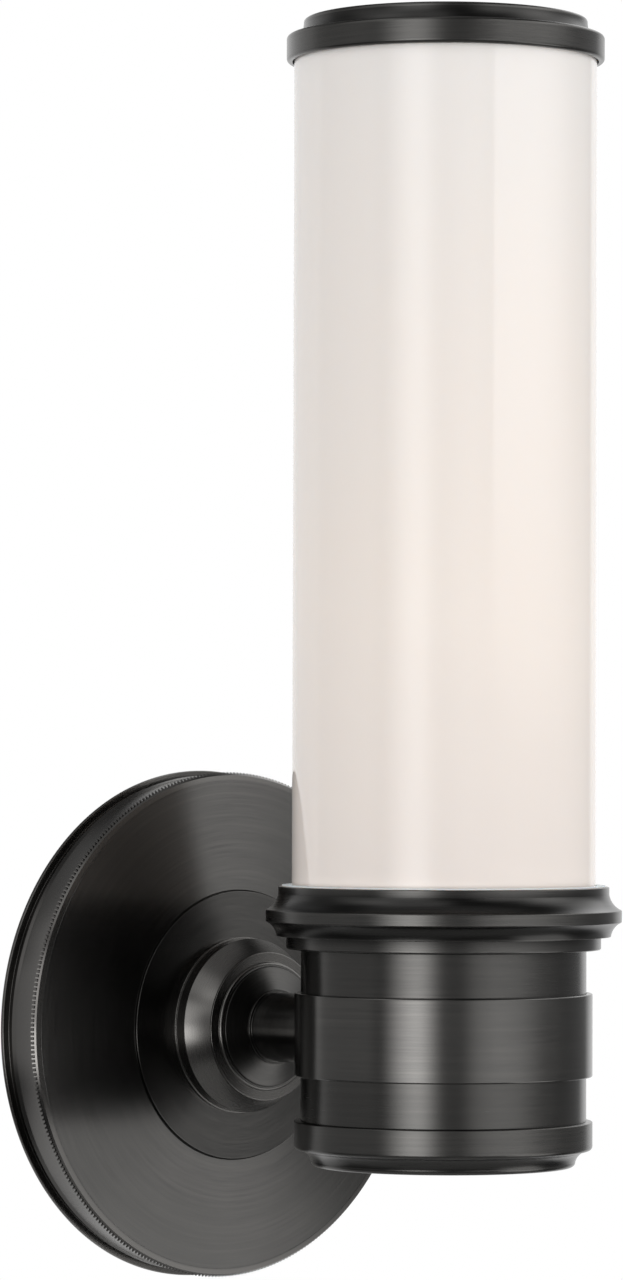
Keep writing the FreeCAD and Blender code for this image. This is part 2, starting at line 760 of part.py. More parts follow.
# Headless screws through the backplate's side into the strap's ears, at the top and bottom
side_screws = []
for name, turn in (("UpperSideScrew", 0), ("LowerSideScrew", FULL_TURN / 2)):
    screw = new_body(name, None)
    screw.Placement = Placement(Vector(), Rotation(Vector(0, 1, 0), turn))
    turn_shape(screw, [
        ("0", "side_screw_inner"),
        ("side_screw_radius", "side_screw_inner"),
        ("side_screw_radius", "side_screw_outer"),
        ("0", "side_screw_outer"),
    ])
    pocket(screw, "XY_Plane", lambda sketch: outline(sketch, [
        ("-side_screw_radius - cut_over", "-side_slot_width / 2"),
        ("side_screw_radius + cut_over", "-side_slot_width / 2"),
        ("side_screw_radius + cut_over", "side_slot_width / 2"),
        ("-side_screw_radius - cut_over", "side_slot_width / 2"),
    ]), "side_slot_depth", offset="side_screw_outer")
    screw.setExpression("Placement.Base.y", tied("-side_screw_depth"))
    side_screws.append(screw)
group("side_screws", side_screws)

# Turned pieces that the rod clamps to the front of the backplate
turned("rosette", on_arm, [
    ("rod_hole", "disc_depth"),
    ("rosette_radius", "disc_depth"),
    ("rosette_radius", "rosette_edge_depth"),
    ("ovolo_radius", "ovolo_depth"),
    ("neck_radius", "neck_depth", "ovolo_bulge_share"),
    ("neck_radius", "bead_depth"),
    ("bead_inner_radius", "bead_top_depth", "bead_bulge_share"),
    ("rod_hole", "bead_top_depth"),
])
turned("arm_boss", on_arm, [
    ("rod_hole", "bead_top_depth"),
    ("boss_radius", "bead_top_depth"),
    ("boss_radius", "boss_edge_depth"),
    ("arm_collar_radius", "boss_depth"),
    ("rod_hole", "boss_depth"),
])

# Arm: a bored bar whose far end is hollowed to sit on the round band
arm = turned("arm_tube", on_arm, [
    ("rod_hole", "boss_depth"),
    ("arm_collar_radius", "boss_depth"),
    ("arm_collar_radius", "boss_depth + arm_collar_width"),
    ("arm_radius", "boss_depth + arm_collar_width"),
    ("arm_radius", "arm_end"),
    ("rod_hole", "arm_end"),
])
pocket(arm, "XZ_Plane", lambda sketch: spot(sketch, ("0", "lamp_reach"), "band_radius"))

# Hollow threaded rod that clamps backplate, arm and lamp body together
turned("threaded_rod", on_arm, [
    ("rod_bore", "rod_rear"),
    ("rod_radius", "rod_rear"),
    ("rod_radius", "rod_front"),
    ("rod_bore", "rod_front"),
])
group("rod_nuts", [
    hex_nut("RearNut", on_arm, "rear_nut_seat", "nut_hole"),
    hex_nut("FrontNut", on_arm, "front_nut_seat", "nut_hole"),
])
turned("rod_washer", on_arm, [
    ("rod_hole", "rear_washer_seat"),
    ("washer_radius", "rear_washer_seat"),
    ("washer_radius", "ceiling"),
    ("rod_hole", "ceiling"),
])
saddle = turned("saddle_washer", on_arm, [
    ("rod_hole", "wall_seat"),
    ("washer_radius", "wall_seat"),
    ("washer_radius", "front_nut_seat"),
    ("rod_hole", "front_nut_seat"),
])


def outside_tube(sketch):
    """All that lies outside the body tube's bore, seen from above."""
    spot(sketch, ("0", "lamp_reach"), "tube_bore")
    outline(sketch, [
        ("-tube_radius", "lamp_reach - tube_radius"),
        ("tube_radius", "lamp_reach - tube_radius"),
        ("tube_radius", "lamp_reach + tube_radius"),
        ("-tube_radius", "lamp_reach + tube_radius"),
    ])


pocket(saddle, "XZ_Plane", outside_tube)


def rod_opening(body):
    """Bore the wall side of an upright piece for the rod."""
    pocket(body, "XZ_Plane", lambda sketch: spot(sketch, ("0", "0"), "rod_hole"), "band_radius + cut_over")


# Lamp body: a tube under a band, with the gallery above and the base ring below
rod_opening(turned("body_tube", on_lamp, [
    ("tube_bore", "tube_foot"),
    ("tube_radius", "tube_foot"),
    ("tube_radius", "tube_top"),
    ("tube_bore", "tube_top"),
]))
rod_opening(turned("centre_band", on_lamp, [
    ("tube_radius", "band_foot"),
    ("band_radius - band_edge", "band_foot"),
    ("band_radius", "band_foot + band_edge"),
    ("band_radius", "band_top - band_edge"),
    ("band_radius - band_edge", "band_top"),
    ("tube_radius", "band_top"),
]))
turned("gallery", on_lamp, [
    ("cup_hole", "cup_underside"),
    ("spigot_bore", "cup_underside"),
    ("spigot_bore", "tube_top - spigot_height"),
    ("spigot", "tube_top - spigot_height"),
    ("spigot", "tube_top"),
    ("step_radius - step_edge", "tube_top"),
    ("step_radius", "tube_top + step_edge", "quarter_bulge_share"),
    ("step_radius", "step_top"),
    ("lower_cove_radius", "step_top"),
    ("belt_radius", "belt_foot", "-lower_cove_bulge_share"),
    ("belt_radius", "belt_top"),
    ("rim_radius", "rim_foot", "-upper_cove_bulge_share"),
    ("rim_radius", "gallery_top"),
    ("cup_bore", "gallery_top"),
    ("cup_bore", "cup_floor"),
    ("cup_hole", "cup_floor"),
])
turned("shade_gasket", on_lamp, [
    ("gasket_bore", "cup_floor"),
    ("gasket_side", "cup_floor"),
    ("gasket_side", "gallery_top"),
    ("gasket_lip_radius", "gallery_top"),
    ("gasket_lip_radius", "gasket_top"),
    ("glass_radius + shade_gap", "gasket_top"),
    ("glass_radius + shade_gap", "glass_foot"),
    ("gasket_bore", "glass_foot"),
])
turned("base_ring", on_lamp, [
    ("stem_clear_hole", "base_foot"),
    ("foot_top_radius", "base_foot"),
    ("base_radius - base_edge_round", "base_edge - base_edge_round"),
    ("base_radius", "base_edge", "quarter_bulge_share"),
    ("base_radius", "tube_foot"),
    ("spigot", "tube_foot"),
    ("spigot", "tube_foot + spigot_height"),
    ("spigot_bore", "tube_foot + spigot_height"),
    ("spigot_bore", "floor_top"),
    ("stem_clear_hole", "floor_top"),
])
turned("foot_cap", on_lamp, [
    ("0", "foot_bottom"),
    ("foot_bottom_radius", "foot_bottom"),
    ("foot_waist_radius", "foot_waist", "foot_round_bulge_share"),
    ("foot_top_radius", "base_foot", "-foot_cove_bulge_share"),
    ("foot_bore", "base_foot"),
    ("foot_bore", "foot_inside"),
    ("foot_hub_radius", "foot_inside"),
    ("foot_hub_radius", "base_foot"),
    ("stem_hole", "base_foot"),
    ("stem_hole", "foot_hole_end"),
    ("0", "foot_hole_end"),
])

# Lampholder: a porcelain body with a shoulder under the gallery's floor, threaded outside
# above it, with the brass shell and contact tongue in its bore
holder = turned("lampholder", on_lamp, [
    ("0", "holder_foot"),
    ("holder_radius", "holder_foot"),
    ("holder_radius", "holder_shoulder_foot"),
    ("holder_shoulder_radius", "holder_shoulder_foot"),
    ("holder_shoulder_radius", "cup_underside"),
    ("holder_thread_radius", "cup_underside"),
    ("holder_thread_radius", "holder_top"),
    ("holder_bore", "holder_top"),
    ("holder_bore", "holder_bore_floor"),
    ("0", "holder_bore_floor"),
])


def both_bracket_screws(sketch, radius):
    for side in ("", "-"):
        spot(sketch, (side + "(bracket_screw_spacing / 2)", "0"), radius)


def both_leads(sketch):
    for side in ("", "-"):
        spot(sketch, (side + "lead_offset", "lead_end_reach"), "lead_radius + soft_gap")


pocket(holder, "XY_Plane", lambda sketch: both_bracket_screws(sketch, "bracket_screw_radius + thread_gap"),
       "bracket_screw_length + cut_over", offset="holder_foot", upward=True)
pocket(holder, "XY_Plane", both_leads, "lead_entry + soft_gap", offset="holder_foot", upward=True)
turned("screw_shell", on_lamp, [
    ("shell_hole_radius", "holder_bore_floor"),
    ("shell_side", "holder_bore_floor"),
    ("shell_side", "holder_bore_floor + shell_height"),
    ("shell_bore", "holder_bore_floor + shell_height"),
    ("shell_bore", "holder_bore_floor + shell_wall"),
    ("shell_hole_radius", "holder_bore_floor + shell_wall"),
])
tongue = new_body("contact_tongue", on_lamp)
pad(tongue, "XZ_Plane", lambda sketch: outline(sketch, [
    ("-tongue_length / 2", "holder_bore_floor"),
    ("0", "holder_bore_floor"),
    ("tongue_length / 2", "tongue_tip"),
    ("tongue_length / 2", "tongue_tip + tongue_thick"),
    ("0", "holder_bore_floor + tongue_thick"),
    ("-tongue_length / 2", "holder_bore_floor + tongue_thick"),
]), "tongue_width", both_ways=True)
keep("contact_tongue", tongue)

# Steel bracket under the lampholder, and the hollow stem that it stands on
bracket = new_body("holder_bracket", on_lamp)
pad(bracket, "XY_Plane", lambda sketch: outline(sketch, [
    ("-(bracket_length - bracket_width) / 2", "-bracket_width / 2", HALF_ROUND),
    ("(bracket_length - bracket_width) / 2", "-bracket_width / 2"),
    ("(bracket_length - bracket_width) / 2", "bracket_width / 2", HALF_ROUND),
    ("-(bracket_length - bracket_width) / 2", "bracket_width / 2"),
]), "bracket_thick", offset="bracket_foot")
pad(bracket, "XY_Plane", lambda sketch: spot(sketch, ("0", "0"), "bracket_hub_radius"),
    "bracket_hub_height", offset="bracket_foot", downward=True)


def bracket_holes(sketch):
    spot(sketch, ("0", "0"), "stem_hole")
    both_bracket_screws(sketch, "bracket_screw_radius + hole_gap")


pocket(bracket, "XY_Plane", bracket_holes)
keep("holder_bracket", bracket)

bracket_screws = []
for side in ("", "-"):
    screw = turn_shape(new_body("BracketScrew", on_lamp), [
        ("0", "bracket_screw_seat"),
        ("bracket_screw_head_radius", "bracket_screw_seat"),
        ("bracket_screw_head_radius", "bracket_foot"),
        ("bracket_screw_radius", "bracket_foot"),
        ("bracket_screw_radius", "bracket_screw_end"),
        ("0", "bracket_screw_end"),
    ])
    screw.setExpression("Placement.Base.x", tied(side + "(bracket_screw_spacing / 2)"))
    bracket_screws.append(screw)
group("bracket_screws", bracket_screws)

turned("stem", on_lamp, [
    ("stem_bore", "base_foot - stem_grip"),
    ("stem_radius", "base_foot - stem_grip"),
    ("stem_radius", "bracket_foot"),
    ("stem_bore", "bracket_foot"),
])
keep("stem_nut", hex_nut("StemNut", on_lamp, "floor_top", "stem_hole"))

# Glass shade: a tall opal cylinder with a floor that the clamping ring holds down
turned("glass_shade", on_lamp, [
    ("glass_hole_radius", "glass_foot"),
    ("glass_radius - glass_foot_round", "glass_foot"),
    ("glass_radius", "glass_foot + glass_foot_round", "quarter_bulge_share"),
    ("glass_radius", "glass_top"),
    ("glass_bore", "glass_top"),
    ("glass_bore", "ring_seat + glass_inner_round"),
    ("glass_bore - glass_inner_round", "ring_seat", "-quarter_bulge_share"),
    ("glass_hole_radius", "ring_seat"),
])
ring = turned("shade_ring", on_lamp, [
    ("ring_bore", "ring_seat"),
    ("ring_radius", "ring_seat"),
    ("ring_radius", "ring_seat + ring_flange_thick"),
    ("ring_collar_radius", "ring_seat + ring_flange_thick"),
    ("ring_collar_radius", "ring_seat + ring_height"),
    ("ring_bore", "ring_seat + ring_height"),
])
grip_notch = pocket(ring, "XY_Plane", lambda sketch: spot(
    sketch, ("ring_radius", "0"), "ring_notch_radius"))
repeat_round(ring, grip_notch, RING_NOTCHES)

# Cap: a ring round the top of the glass, a liner on the glass and a lid held by screws
cap_ring = turned("cap_ring", on_lamp, [
    ("cap_side", "cap_foot"),
    ("cap_radius - cap_round", "cap_foot"),
    ("cap_radius", "cap_foot + cap_round", "quarter_bulge_share"),
    ("cap_radius", "cap_ring_top - cap_round"),
    ("cap_radius - cap_round", "cap_ring_top", "quarter_bulge_share"),
    ("cap_bore", "cap_ring_top"),
    ("cap_bore", "cap_seat"),
    ("cap_side", "cap_seat"),
])
ring_hole = pocket(cap_ring, "XY_Plane", lambda sketch: spot(
    sketch, ("cap_screw_circle", "0"), "cap_screw_radius + hole_gap"))
repeat_round(cap_ring, ring_hole, CAP_SCREWS)
turned("cap_liner", on_lamp, [
    ("glass_bore", "glass_top"),
    ("cap_side - soft_gap", "glass_top"),
    ("cap_side - soft_gap", "cap_seat"),
    ("glass_bore", "cap_seat"),
])
cap_lid = turned("cap_lid", on_lamp, [
    ("0", "lid_underside"),
    ("lid_spigot_bore", "lid_underside"),
    ("lid_spigot_bore", "lid_spigot_foot"),
    ("lid_spigot_radius", "lid_spigot_foot"),
    ("lid_spigot_radius", "cap_ring_top"),
    ("lid_flare_radius", "cap_ring_top"),
    ("lid_radius", "lid_flare_top", "-lid_flare_bulge_share"),
    ("lid_radius - lid_round", "lid_top", "quarter_bulge_share"),
    ("0", "lid_top"),
])
lid_hole = pocket(cap_lid, "XY_Plane", lambda sketch: spot(
    sketch, ("cap_screw_circle", "0"), "cap_screw_radius + thread_gap"),
    "cap_screw_grip + soft_gap", offset="cap_ring_top", upward=True)
repeat_round(cap_lid, lid_hole, CAP_SCREWS)

cap_screws = []
for index in range(CAP_SCREWS):
    screw = turn_shape(new_body("CapScrew", on_lamp), [
        ("0", "cap_screw_foot"),
        ("cap_screw_head_radius", "cap_screw_foot"),
        ("cap_screw_head_radius", "cap_seat"),
        ("cap_screw_radius", "cap_seat"),
        ("cap_screw_radius", "cap_screw_end"),
        ("0", "cap_screw_end"),
    ])
    turn = index * FULL_TURN / CAP_SCREWS
    screw.setExpression("Placement.Base.x", tied("cap_screw_circle * cos(%r)" % turn))
    screw.setExpression("Placement.Base.y", tied("cap_screw_circle * sin(%r) - lamp_reach" % turn))
    cap_screws.append(screw)
group("cap_screws", cap_screws)

# Lamp: a tubular filament lamp with a screw cap
turned("lamp_contact", on_lamp, [
    ("0", "tip_foot"),
    ("lamp_tip_radius - lamp_tip_height", "tip_foot"),
    ("lamp_tip_radius", "insulator_foot", "quarter_bulge_share"),
    ("0", "insulator_foot"),
])
turned("lamp_insulator", on_lamp, [
    ("0", "insulator_foot"),
    ("lamp_tip_radius", "insulator_foot"),
    ("lamp_shell_bore", "lamp_shell_foot"),
    ("lamp_shell_bore", "insulator_top"),
    ("0", "insulator_top"),
])
turned("lamp_cap", on_lamp, [
    ("lamp_shell_bore", "lamp_shell_foot"),
    ("lamp_shell_radius", "lamp_shell_foot"),
    ("lamp_shell_radius", "lamp_shell_top"),
    ("lamp_shell_bore", "lamp_shell_top"),
])
turned("lamp_envelope", on_lamp, [
    ("0", "lamp_glass_foot"),
    ("lamp_neck_radius", "lamp_glass_foot"),
    ("lamp_neck_radius", "lamp_neck_top"),
    ("lamp_radius", "lamp_shoulder"),
    ("lamp_radius", "lamp_top - lamp_radius"),
    ("0", "lamp_top", "quarter_bulge_share"),
    ("0", "lamp_top - lamp_glass_wall"),
    ("lamp_radius - lamp_glass_wall", "lamp_top - lamp_radius", "-quarter_bulge_share"),
    ("lamp_radius - lamp_glass_wall", "lamp_shoulder"),
    ("lamp_neck_radius - lamp_glass_wall", "lamp_neck_top"),
    ("lamp_neck_radius - lamp_glass_wall", "lamp_glass_floor"),
    ("0", "lamp_glass_floor"),
])
turned("lamp_stem", on_lamp, [
    ("0", "lamp_glass_floor"),
    ("stem_tube_radius", "lamp_glass_floor"),
    ("stem_tube_radius", "stem_tube_top"),
    ("0", "stem_tube_top"),
])
filaments = []
for index in range(FILAMENTS):
    filament = cylinder("Filament", "filament_radius", "filament_length", None, "stem_tube_top")
    turn = index * FULL_TURN / FILAMENTS
    filament.setExpression("Placement.Base.x", tied("filament_circle * cos(%r)" % turn))
    filament.setExpression("Placement.Base.y", tied("filament_circle * sin(%r) - lamp_reach" % turn))
    filaments.append(filament)
group("lamp_filaments", filaments)

# Leads: two from the lampholder through the rod, and one from the ground screw, each into
# a connector behind the backplate
for label, side in (("live_lead", 1), ("neutral_lead", -1)):
    across = side * size("lead_offset")
    lead(label, [
        Vector(across, size("lead_end_reach - lamp_reach"), size("holder_foot + lead_entry")),
        Vector(across, size("lead_end_reach - lamp_reach"), size("lead_low")),
        Vector(across, size("lead_turn_reach - lamp_reach"), size("lead_low")),
        Vector(across, size("lead_turn_reach - lamp_reach"), 0),
        Vector(across, size("-lead_rear_depth"), 0),
        Vector(side * size("connector_start + connector_grip"), size("-lead_rear_depth"), 0),
    ])
lead("ground_lead", [
    Vector(size("-ground_head_radius"), size("-ground_depth"), size("ground_level")),
    Vector(size("ground_lead_rise_start"), size("-ground_depth"), size("ground_level")),
    Vector(size("ground_lead_rise_end"), size("-lead_rear_depth"), size("ground_level")),
    Vector(size("connector_start + connector_grip"), size("-lead_rear_depth"), size("ground_level")),
])
connectors = []
for side, level in ((1, "0"), (-1, "0"), (1, "ground_level")):
    connector = new_body("Connector", None)
    connector.Placement = Placement(Vector(), Rotation(Vector(0, 1, 0), side * FULL_TURN / 4))
    turn_shape(connector, [
        ("0", "connector_bore_depth"),
        ("lead_radius + hole_gap", "connector_bore_depth"),
        ("lead_radius + hole_gap", "0"),
        ("connector_radius", "0"),
        ("connector_radius", "connector_skirt"),
        ("connector_tip_radius", "connector_length"),
        ("0", "connector_length"),
    ])
    connector.setExpression("Placement.Base.x", tied("%d * connector_start" % side))
    connector.setExpression("Placement.Base.y", tied("-lead_rear_depth"))
    connector.setExpression("Placement.Base.z", tied(level))
    connectors.append(connector)
group("wire_connectors", connectors)

# Check every object, then write each sub-part
doc.recompute()
for item in doc.Objects:
    if "Invalid" in item.State or "Error" in item.State:
        raise RuntimeError("%s failed" % item.Label)
for part in parts:
    if part.Shape.isNull() or not part.Shape.isValid():
        raise RuntimeError("%s has no valid shape" % part.Label)
os.makedirs("parts", exist_ok=True)
for part in parts:
    part.Shape.exportStep("parts/%s.step" % part.Label)
print("Wrote %d sub-parts" % len(parts))
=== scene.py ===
import json
import math
from collections import namedtuple

import bpy
import numpy as np
from mathutils import Matrix, Vector

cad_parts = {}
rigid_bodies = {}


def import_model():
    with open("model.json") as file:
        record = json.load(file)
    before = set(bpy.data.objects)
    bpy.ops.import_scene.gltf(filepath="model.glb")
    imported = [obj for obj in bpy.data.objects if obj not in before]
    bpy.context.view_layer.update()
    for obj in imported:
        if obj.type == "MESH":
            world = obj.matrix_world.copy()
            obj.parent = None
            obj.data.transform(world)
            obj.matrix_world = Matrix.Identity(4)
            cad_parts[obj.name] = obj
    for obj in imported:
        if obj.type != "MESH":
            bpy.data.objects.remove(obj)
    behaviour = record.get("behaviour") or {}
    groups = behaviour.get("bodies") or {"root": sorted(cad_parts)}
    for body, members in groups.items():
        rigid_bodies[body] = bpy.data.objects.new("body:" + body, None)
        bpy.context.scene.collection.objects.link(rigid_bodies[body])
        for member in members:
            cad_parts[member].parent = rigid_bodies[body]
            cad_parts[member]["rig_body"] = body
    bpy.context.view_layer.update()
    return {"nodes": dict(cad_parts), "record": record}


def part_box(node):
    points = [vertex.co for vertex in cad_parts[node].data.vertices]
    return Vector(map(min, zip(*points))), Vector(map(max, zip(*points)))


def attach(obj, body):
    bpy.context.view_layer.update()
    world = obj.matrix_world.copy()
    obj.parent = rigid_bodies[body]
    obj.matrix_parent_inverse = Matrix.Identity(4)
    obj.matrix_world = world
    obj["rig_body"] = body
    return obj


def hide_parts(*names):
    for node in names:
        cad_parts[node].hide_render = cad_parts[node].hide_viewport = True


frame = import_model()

scene = bpy.context.scene
scene.view_settings.view_transform = "Standard"

MM = 0.001               # sizes are in millimetres unless a comment says otherwise
TURN = 2 * math.pi
COLUMNS = 240            # columns round each turned piece
ARC_STEPS = 12
EDGE = 0.22              # how far an edge's rounding reaches from its corner
FINE_EDGE = 0.1
EDGE_STEPS = 4
EDGE_LIMIT = 0.42        # the largest share of a run that a rounding may take
QUARTER = math.tan(math.pi / 8)      # the bulge of a quarter round
TINY = 1e-6
HOLLOW_LEAST = math.radians(1.0)     # how much a hollow run turns from point to point
HOLLOW_MOST = math.radians(12)

SLOTS = {part["node"]: part["material_slot"] for part in frame["record"]["subparts"]}

# A turned piece's axis: where it is, two directions across it, and the one along it
Axis = namedtuple("Axis", "origin across up along")
# A corner of a turned outline; the bulge belongs to the run that leads to it
Corner = namedtuple("Corner", "radius station bulge edge", defaults=(0, EDGE))

glass_low, glass_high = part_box("glass_shade")
LAMP_REACH = -(glass_low.y + glass_high.y) / 2
ARM = Axis(Vector((0, 0, 0)), Vector((1, 0, 0)), Vector((0, 0, 1)), Vector((0, -1, 0)))
LAMP = Axis(Vector((0, -LAMP_REACH, 0)), Vector((1, 0, 0)), Vector((0, 1, 0)), Vector((0, 0, 1)))


# Sizes read from the frame
def reach(node):
    """Largest radius of a turned node."""
    low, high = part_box(node)
    return (high.x - low.x) / 2 / MM


def span(node, axis):
    """Where a turned node starts and ends along its axis."""
    ends = [(corner - axis.origin).dot(axis.along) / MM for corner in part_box(node)]
    return min(ends), max(ends)


# Turned pieces
def arc(start, end, bulge):
    """Points from start to end; a bulge above 0 swells to the right of the way."""
    if not bulge:
        return np.array([start, end])
    chord = end - start
    length = np.linalg.norm(chord)
    ahead = chord / length
    right = np.array([ahead[1], -ahead[0]])
    half = 2 * math.atan(abs(bulge))
    radius = length / 2 / math.sin(half)
    turns = np.linspace(-half, half, ARC_STEPS + 1)
    rise = math.copysign(radius, bulge) * (np.cos(turns) - math.cos(half))
    middle = (start + end) / 2
    return middle + np.outer(radius * np.sin(turns), ahead) + np.outer(rise, right)


def trimmed(points, head, tail):
    """A run without the lengths that the rounding takes at its two ends."""
    lengths = np.linalg.norm(np.diff(points, axis=0), axis=1)
    stations = np.concatenate(([0], np.cumsum(lengths)))
    total = stations[-1]
    head, tail = min(head, total * EDGE_LIMIT), min(tail, total * EDGE_LIMIT)
    inner = stations[(stations > head + TINY) & (stations < total - tail - TINY)]
    kept = np.concatenate(([head], inner, [total - tail]))
    return np.column_stack([np.interp(kept, stations, points[:, side]) for side in (0, 1)])


def softened(corners):
    """A closed outline as points, with each edge rounded a little."""
    places = [np.array([corner.radius, corner.station], float) for corner in corners]
    runs = []
    for index, corner in enumerate(corners):
        way = arc(places[index - 1], places[index], corner.bulge)
        runs.append(trimmed(way, corners[index - 1].edge, corner.edge))
    path = []
    for index, corner in enumerate(corners):
        path.extend(runs[index])
        if not corner.edge:
            continue
        start, end = runs[index][-1], runs[(index + 1) % len(runs)][0]
        for step in np.linspace(0, 1, EDGE_STEPS + 1)[1:-1]:
            toward = (1 - step) ** 2 * start + 2 * step * (1 - step) * places[index] + step ** 2 * end
            path.append(toward)
    return np.array([point for index, point in enumerate(path)
                     if np.linalg.norm(point - path[index - 1]) > TINY])


def outward_normals(path):
    """Normals of the outline's points, where a longer run beside a point counts for more."""
    runs = np.roll(path, -1, axis=0) - path
    sides = np.column_stack((runs[:, 1], -runs[:, 0]))
    on_axis = (path[:, 0] < TINY) & (np.roll(path, -1, axis=0)[:, 0] < TINY)
    sides[on_axis] = 0
    normals = sides + np.roll(sides, 1, axis=0)
    normals[path[:, 0] < TINY, 0] = 0
    return normals / np.linalg.norm(normals, axis=1)[:, None]


def hollows(path):
    """1 at the outline's points inside a hollow run, where shade is painted, 0 elsewhere."""
    runs = np.roll(path, -1, axis=0) - path
    before = np.roll(runs, 1, axis=0)
    turning = np.arctan2(before[:, 0] * runs[:, 1] - before[:, 1] * runs[:, 0], (before * runs).sum(axis=1))
    return ((turning < -HOLLOW_LEAST) & (turning > -HOLLOW_MOST)).astype(float)


def shaded_mesh(name, points, faces, dark):
    """A mesh in metres from points in millimetres and how much painted shade each point takes."""
    mesh = bpy.data.meshes.new(name)
    mesh.from_pydata([tuple(point * MM) for point in points], [], faces)
    mesh.attributes.new("hollow", "FLOAT", "POINT").data.foreach_set("value", dark)
    return mesh


def in_scene(mesh):
    """A new object that shows the mesh."""
    mesh.validate()
    piece = bpy.data.objects.new(mesh.name, mesh)
    scene.collection.objects.link(piece)
    return piece


def lathe(name, corners, axis, painted_shade=0.0):
    """Turn a closed outline of radius and station round an axis, with painted shade of the given strength
    in its hollow runs.
    """
    path = softened(corners)
    shades = painted_shade * hollows(path)
    slopes = outward_normals(path)
    origin, across, up, along = (np.array(part) for part in axis)
    turns = np.arange(COLUMNS) * TURN / COLUMNS
    spokes = np.outer(np.cos(turns), across) + np.outer(np.sin(turns), up)
    points, normals, rows, dark = [], [], [], []
    for (radius, station), (out, ahead), shade in zip(path, slopes, shades):
        centre = origin / MM + station * along
        ring = spokes if radius > TINY else np.zeros((1, 3))
        rows.append(range(len(points), len(points) + len(ring)))
        points.extend(centre + radius * ring)
        normals.extend(out * ring + ahead * along)
        dark.extend([shade] * len(ring))
    faces = []
    for index, row in enumerate(rows):
        following = rows[(index + 1) % len(rows)]
        if len(row) == 1 and len(following) == 1:
            continue
        for column in range(COLUMNS):
            beside = (column + 1) % COLUMNS
            if len(row) == 1:
                faces.append((row[0], following[beside], following[column]))
            elif len(following) == 1:
                faces.append((row[column], row[beside], following[0]))
            else:
                faces.append((row[column], row[beside], following[beside], following[column]))
    mesh = shaded_mesh(name, points, faces, dark)
    mesh.shade_smooth()
    mesh.normals_split_custom_set_from_vertices([tuple(normal) for normal in normals])
    return in_scene(mesh)


def stands_for(piece, node, material):
    """The piece takes the given material, rides on the node's body and hides the node."""
    piece.data.materials.clear()
    piece.data.materials.append(material)
    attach(piece, frame["nodes"][node]["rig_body"])
    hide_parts(node)


# Materials
def principled(name):
    """A new material with its node tree, links and shader."""
    material = bpy.data.materials.new(name)
    material.use_nodes = True
    tree = material.node_tree
    return material, tree, tree.nodes["Principled BSDF"]


def put(tree, kind, inputs=None, **settings):
    """A node whose inputs are numbers or other nodes' outputs."""
    node = tree.nodes.new(kind)
    for setting, value in settings.items():
        setattr(node, setting, value)
    for socket, value in (inputs or {}).items():
        if isinstance(value, bpy.types.NodeSocket):
            tree.links.new(value, node.inputs[socket])
        else:
            node.inputs[socket].default_value = value
    return node


def math_node(tree, operation, first, second=0.0):
    return put(tree, "ShaderNodeMath", {0: first, 1: second}, operation=operation).outputs[0]


def vector_node(tree, operation, first, second=None, scale=None):
    """Vector arithmetic; a dot product or a length comes out as a number."""
    inputs = {0: first, 1: second, "Scale": scale}
    inputs = {socket: value for socket, value in inputs.items() if value is not None}
    node = put(tree, "ShaderNodeVectorMath", inputs, operation=operation)
    return node.outputs["Value" if operation in ("DOT_PRODUCT", "LENGTH") else "Vector"]


def noise(tree, place, scale, detail):
    inputs = {"Vector": place, "Scale": scale, "Detail": detail}
    return put(tree, "ShaderNodeTexNoise", inputs).outputs["Fac"]


def grey(level):
    return (level, level, level, 1)


def mixed(tree, share, first, second):
    """A colour between two, by a share."""
    mix = put(tree, "ShaderNodeMix", {0: share, 6: first, 7: second}, data_type="RGBA")
    return mix.outputs[2]


def spread(tree, value, low, high, to_low, to_high):
    """A value carried from one range to another."""
    inputs = {"Value": value, "From Min": low, "From Max": high, "To Min": to_low, "To Max": to_high}
    return put(tree, "ShaderNodeMapRange", inputs).outputs[0]


# Dark metal tones: fine brush lines, polishing bands, a paler painted highlight and a near-black painted
# shade
METAL_DARK = (0.060, 0.059, 0.057, 1)
METAL_LIGHT = (0.081, 0.079, 0.076, 1)
METAL_WORN = (0.088, 0.085, 0.081, 1)
# painted highlight: the paler tone painted beyond a radius
METAL_PAINTED_HIGHLIGHT = (0.095, 0.092, 0.088, 1)
# painted shade: the near-black tone painted into hollow runs and notches
METAL_PAINTED_SHADE = (0.012, 0.012, 0.012, 1)
METAL_TONES = (METAL_DARK, METAL_LIGHT, METAL_WORN, METAL_PAINTED_HIGHLIGHT)
HAIR_GRAIN = 3600.0      # fine brush lines to the metre
HAIR_TURN = 5.0          # how fast they change round the axis
HAIR_RANGE = (0.25, 0.75)
HAIR_ROUGHNESS = 0.02
HAIR_BUMP = 0.15
HAIR_HEIGHT = 0.00001    # metres
BAND_GRAIN = 1100.0      # broader bands that the polishing left
BAND_TURN = 0.7
BAND_RANGE = (0.45, 0.75)
BAND_SHARE = 0.7
METAL_CLOUD = 28.0       # slow change of tone over the piece
METAL_CLOUD_RANGE = (0.4, 0.7)
METAL_CLOUD_SHARE = 0.5
METAL_CLOUD_ROUGHNESS = 0.015
CLOUD_RANGE = (0.3, 0.7)
HIGHLIGHT_FADE = 0.5 * MM      # over how far the painted highlight begins
BRUSHED_ROUND = 0.25     # the shader's turn that lays the brush lines round the axis


